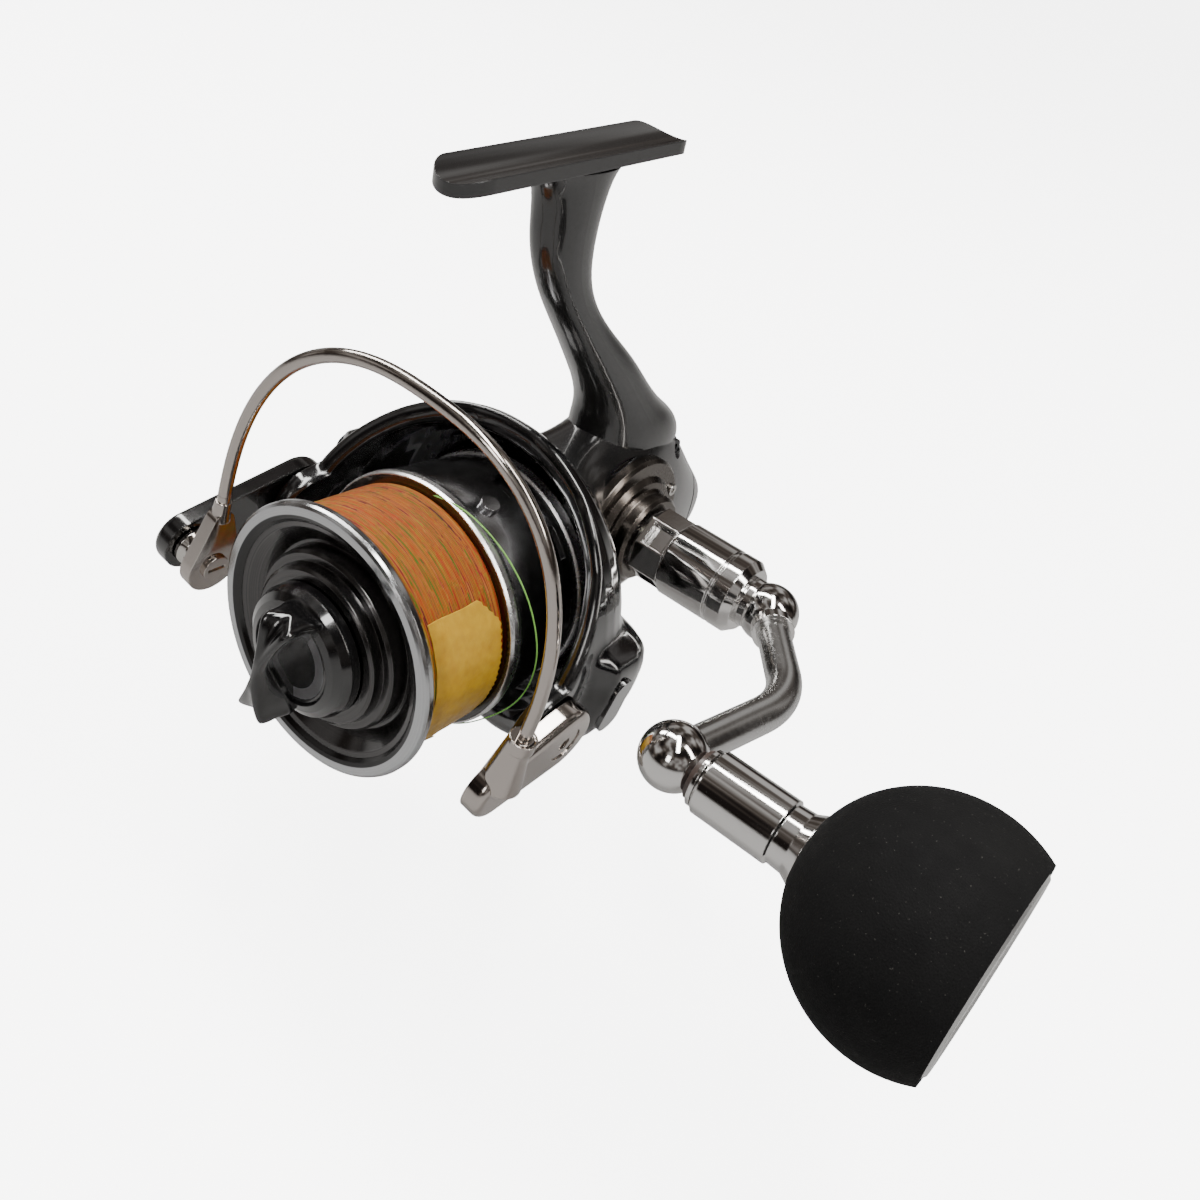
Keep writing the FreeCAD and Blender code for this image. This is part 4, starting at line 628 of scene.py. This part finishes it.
def masking_tape():
    """Yellow crepe paper: small wrinkles, a little light coming through, and darker stuck patches."""
    material = bpy.data.materials.new("masking_tape")
    material.use_nodes = True
    tree = material.node_tree
    shader = tree.nodes["Principled BSDF"]
    shader.inputs["Subsurface Weight"].default_value = 0.15
    shader.inputs["Subsurface Radius"].default_value = (0.001, 0.0006, 0.0002)
    cloud = use_group(tree, "grain", Scale=520.0, Low=0.0, High=1.0)["Value"]
    mixed = add_node(tree, "ShaderNodeMix", {"Factor": cloud, "A": (0.40, 0.205, 0.008, 1.0),
                                             "B": (0.56, 0.33, 0.022, 1.0)}, data_type="RGBA")
    tree.links.new(mixed.outputs["Result"], shader.inputs["Base Color"])
    rough = use_group(tree, "grain", Scale=700.0, Low=0.38, High=0.55)["Value"]
    tree.links.new(rough, shader.inputs["Roughness"])
    crepe = use_group(tree, "pits", Scale=1300.0, Depth=0.00006)["Normal"]
    tree.links.new(crepe, shader.inputs["Normal"])
    return material


def tape_strip():
    """Sheet on the winding: angle down from its top edge, distance from its front edge to a rear
    edge that is cut back near the top and toothed below, lifted by low waves."""
    low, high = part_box("line_tape")
    front, rear = low[1], high[1]
    winding_low, winding_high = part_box("line_winding")
    base = (winding_high[0] - winding_low[0]) / 2
    share = np.linspace(0.0, 1.0, 60)[:, None]
    angle = np.linspace(TAPE_TOP, TAPE_BOTTOM, TAPE_TEETH * 8 + 1)[None, :]
    cut = np.interp(-angle, [-TAPE_TOP, -CORNER_END, -TAPE_BOTTOM], [rear - CORNER_CUT, rear, rear])
    tooth = np.abs(((angle - TAPE_TOP) / (TAPE_BOTTOM - TAPE_TOP) * TAPE_TEETH) % 1.0 - 0.5) * 2
    y = front + (cut - 0.5 * MM * tooth - front) * share
    slope = (y - winding_low[1]) / (winding_high[1] - winding_low[1])
    wave = np.sin(angle * 26 + share * 5) * 0.05 + np.sin(share * 21 + angle * 9) * 0.04
    radius = base - BRAID_TAPER * slope + TAPE_LIFT + wave * MM
    points = round_axle(radius, y, angle + 0.004 * np.sin(share * 7))
    piece = grid_piece("tape_strip", points, "spool", masking_tape())
    wall = piece.modifiers.new("wall", "SOLIDIFY")
    wall.thickness = TAPE_THICKNESS
    wall.offset = 0.0
    return piece


tape = tape_strip()
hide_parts("line_tape")

# ---------------------------------------------------------------- loose strands
# The last turn of line has slipped off the winding and lies slack round the front band. A short
# end sticks out below the tape. Both are fine braid and turn with the spool.
STRAND_RADIUS = 0.17 * MM


def smooth_path(stations, count):
    """Catmull-Rom curve through the stations, sampled evenly in its parameter."""
    stations = np.asarray(stations, float)
    padded = np.vstack([2 * stations[0] - stations[1], stations, 2 * stations[-1] - stations[-2]])
    t = np.linspace(0, len(stations) - 1 - 1e-9, count)
    i = t.astype(int)
    f = (t - i)[:, None]
    a, b, c, d = padded[i], padded[i + 1], padded[i + 2], padded[i + 3]
    bend = (2 * a - 5 * b + 4 * c - d) * f ** 2 + (3 * b - a - 3 * c + d) * f ** 3
    return 0.5 * (2 * b + (c - a) * f + bend)


def strand(name, path, radius, colour, sides=8):
    """Thin round line along a path: rings square to the path, closed to a point at both ends."""
    along = np.gradient(path, axis=0)
    along /= np.linalg.norm(along, axis=1)[:, None]
    side = np.cross(along, (0.0, 1.0, 0.0))
    side /= np.linalg.norm(side, axis=1)[:, None]
    other = np.cross(along, side)
    turn = np.linspace(0, 2 * np.pi, sides, endpoint=False)
    thick = np.full(len(path), radius)
    thick[0] = thick[-1] = 0.0
    cosine, sine = np.cos(turn)[None, :, None], np.sin(turn)[None, :, None]
    ring = side[:, None, :] * cosine + other[:, None, :] * sine
    points = path[:, None, :] + ring * thick[:, None, None]
    material = finish(name + "_braid", colour, rough=(0.45, 0.6), grain=3000.0, depth=0.00003)
    return grid_piece(name, points, "spool", material, wrap_columns=True)


band_low, band_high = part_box("skirt_band_front")
band_radius = (band_high[0] - band_low[0]) / 2
band_front = band_low[1]


def strand_path(stations, count):
    """Points along a strand, from its stations about the front band."""
    placed = [[math.radians(a), band_front + y * MM, band_radius + r * MM] for a, y, r in stations]
    bend = smooth_path(placed, count)
    return round_axle(bend[:, 2], bend[:, 1], bend[:, 0])


# stations: degrees round the axle, and millimetres behind and outside the front band
slack = [(88, -0.3, -1.2), (70, 1.2, 0.5), (45, 3.6, 0.9), (20, 5.6, 1.3), (0, 6.6, 1.9), (-20, 6.4, 2.0),
         (-38, 4.6, 1.2), (-52, 2.0, 0.5), (-64, -0.8, -1.3)]
strand("loose_turn", strand_path(slack, 120), STRAND_RADIUS, (0.22, 0.52, 0.10))
tail = [(-44, -9.0, -1.0), (-50, -10.0, -0.6), (-56, -11.5, 0.6), (-63, -14.0, 2.4), (-70, -16.2, 3.2)]
strand("tail_end", strand_path(tail, 40), STRAND_RADIUS, (0.55, 0.60, 0.42))

# ---------------------------------------------------------------- drag knob
# A moulded gloss black knob: a stepped round base with a thin grey ring let into it, and a tall
# grip across it, pinched in the middle and flared at both ends.
GRIP_TURN = math.radians(10.0)
GRIP_HALF_LENGTH = 13.9 * MM
GRIP_NOTCH = 3.4 * MM
RING_RADIUS, RING_HALF_WIDTH = 0.0081, 0.0012


def knob_base_material():
    """Gloss black moulding with a thin satin grey ring let in about the shaft."""
    material = finish("knob_gloss", (0.003, 0.003, 0.0033), (0.010, 0.010, 0.010), rough=(0.10, 0.18),
                      grain=300.0, pits=200.0, radius=0.0004, Coat_Weight=0.8, Coat_Roughness=0.04)
    plain = material.copy()
    plain.name = "grip_gloss"
    tree = material.node_tree
    shader = tree.nodes["Principled BSDF"]
    reach = use_group(tree, "tool_lines", Centre=(0.0, 0.0, AXLE_Z))["Radius"]
    inside = maths(tree, "COMPARE", reach, RING_RADIUS, RING_HALF_WIDTH)
    before = shader.inputs["Base Color"].links[0].from_socket
    mixed = add_node(tree, "ShaderNodeMix", {"Factor": inside, "A": before, "B": (0.10, 0.10, 0.105, 1.0)},
                     data_type="RGBA")
    tree.links.new(mixed.outputs["Result"], shader.inputs["Base Color"])
    return material, plain


def knob_grip(material):
    """Loft along the grip: each section is a boxy oval, thin in the middle and flared to the wings,
    with a notch down its front between the two wings at each end."""
    low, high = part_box("drag_knob_grip")
    front, rear = low[1], high[1] + 1.5 * MM
    s = np.sin(np.linspace(-1.5, 1.5, 81)) / math.sin(1.5) * 0.999
    s = np.concatenate([[-1.0], s, [1.0]])[:, None]
    turn = np.linspace(0, 2 * np.pi, 80, endpoint=False)[None, :]
    end = (1 - np.abs(s) ** 20) ** 0.5
    half = (1.1 + 3.7 * np.abs(s) ** 1.5) * MM * end
    crest = front + (0.2 + 1.6 * np.abs(s) ** 3) * MM
    c, d = np.cos(turn), np.sin(turn)
    out, along = np.sign(c) * np.abs(c) ** 0.42, np.sign(d) * np.abs(d) ** 0.42
    waist = 1 - 0.22 * np.clip(-along, 0, 1) * (1 - np.abs(s)) + 0.25 * np.clip(along, 0, 1)
    across = half * out * waist
    y = (crest + rear) / 2 + (rear - crest) / 2 * along * end
    notch = GRIP_NOTCH * np.clip((np.abs(s) - 0.25) / 0.75, 0, 1) ** 1.2
    y = y + notch * np.clip(-along, 0, 1) * np.clip(1 - np.abs(out) * 1.15, 0, 1) * end
    reach = s * GRIP_HALF_LENGTH
    x = reach * math.sin(GRIP_TURN) + across * math.cos(GRIP_TURN)
    z = AXLE_Z + reach * math.cos(GRIP_TURN) - across * math.sin(GRIP_TURN)
    return grid_piece("knob_grip", np.stack([x, y, z], axis=-1), "drag_knob", material,
                      wrap_columns=True)


base_gloss, grip_gloss = knob_base_material()
dress(base_gloss, "drag_knob_base")
dress(grip_gloss, "drag_knob_grip")
grip = knob_grip(grip_gloss)
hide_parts("drag_knob_grip")

# ---------------------------------------------------------------- floor and light
# Plain pale floor, just below the knob's sweep as the handle turns. Three long soft lamps hang over
# it, in a room of dull warm walls that the plated pieces mirror.
FLOOR_SIZE = 40.0
FLOOR_GLOW = 5.4
ROOM_WHITE = 6.3
FLOOR_GAP = 1.0 * MM            # under the sweep
shank_low, shank_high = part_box("handle_shank")
ball_low, ball_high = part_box("knob_ball")
crank_axis = (np.array(shank_low) + np.array(shank_high)) / 2
ball_centre = (np.array(ball_low) + np.array(ball_high)) / 2
sweep = np.hypot(*(ball_centre - crank_axis)[1:]) + (ball_high[2] - ball_low[2]) / 2
floor_z = crank_axis[2] - sweep - FLOOR_GAP
spread = np.linspace(-FLOOR_SIZE, FLOOR_SIZE, 3)
mesh = bpy.data.meshes.new("floor")
mesh.from_pydata([(x, y, floor_z) for y in spread for x in spread], [],
                 [(0, 1, 4, 3), (1, 2, 5, 4), (3, 4, 7, 6), (4, 5, 8, 7)])
floor = bpy.data.objects.new("floor", mesh)
bpy.context.scene.collection.objects.link(floor)
floor_white = bpy.data.materials.new("floor_white")
floor_white.use_nodes = True
tree = floor_white.node_tree
tree.nodes["Principled BSDF"].inputs["Base Color"].default_value = (0.34, 0.34, 0.34, 1.0)
tree.nodes["Principled BSDF"].inputs["Roughness"].default_value = 0.9
pale = add_node(tree, "ShaderNodeBsdfDiffuse", {"Color": (0.95, 0.95, 0.95, 1.0)})
glow = add_node(tree, "ShaderNodeEmission", {"Color": (1.0, 1.0, 1.0, 1.0), "Strength": FLOOR_GLOW})
lit = add_node(tree, "ShaderNodeAddShader", {0: pale.outputs[0], 1: glow.outputs[0]})
first_ray = add_node(tree, "ShaderNodeLightPath").outputs["Is Camera Ray"]
seen = add_node(tree, "ShaderNodeMixShader", {0: first_ray, 1: tree.nodes["Principled BSDF"].outputs[0],
                                              2: lit.outputs[0]})
tree.links.new(seen.outputs[0], tree.nodes["Material Output"].inputs["Surface"])
floor.data.materials.append(floor_white)


def ceiling_lamp(name, place, target, length, width, watts, colour):
    """Long area lamp along Y that looks at a point."""
    lamp = bpy.data.lights.new(name, "AREA")
    lamp.shape = "RECTANGLE"
    lamp.size = width
    lamp.size_y = length
    lamp.energy = watts
    lamp.color = colour
    made = bpy.data.objects.new(name, lamp)
    aim = Vector(target) - Vector(place)
    made.matrix_world = Matrix.Translation(place) @ aim.to_track_quat("-Z", "Y").to_matrix().to_4x4()
    bpy.context.scene.collection.objects.link(made)


middle = (cad_low + cad_high) / 2
ceiling_lamp("lamp_left", middle + Vector((-0.75, 0.1, 1.1)), middle, 1.3, 0.22, 20.0, (1.0, 0.985, 0.96))
ceiling_lamp("lamp_middle", middle + Vector((0.15, -0.2, 1.25)), middle, 1.3, 0.22, 20.0, (1.0, 0.99, 0.97))
ceiling_lamp("lamp_right", middle + Vector((1.0, 0.1, 0.9)), middle, 1.2, 0.22, 12.0, (1.0, 0.96, 0.92))
ceiling_lamp("lamp_front", middle + Vector((0.2, -1.2, 0.55)), middle, 0.4, 0.25, 2.5, (1.0, 0.98, 0.96))

world = bpy.data.worlds.new("room")
bpy.context.scene.world = world
world.use_nodes = True
tree = world.node_tree
heading = add_node(tree, "ShaderNodeTexCoord").outputs["Generated"]
walls = add_node(tree, "ShaderNodeTexNoise", {"Vector": heading, "Scale": 2.1, "Detail": 2.0}).outputs[0]
ramp = add_node(tree, "ShaderNodeValToRGB", {"Fac": walls})
stops = ramp.color_ramp.elements
stops[0].position, stops[0].color = 0.40, (0.014, 0.011, 0.010, 1.0)
stops[1].position, stops[1].color = 0.68, (0.60, 0.58, 0.56, 1.0)
middle_stop = stops.new(0.52)
middle_stop.color = (0.10, 0.082, 0.070, 1.0)
first_ray = add_node(tree, "ShaderNodeLightPath").outputs["Is Camera Ray"]
seen = add_node(tree, "ShaderNodeMix", {"Factor": first_ray, "A": ramp.outputs[0],
                                        "B": (ROOM_WHITE, ROOM_WHITE, ROOM_WHITE, 1.0)}, data_type="RGBA")
tree.links.new(seen.outputs["Result"], tree.nodes["Background"].inputs["Color"])
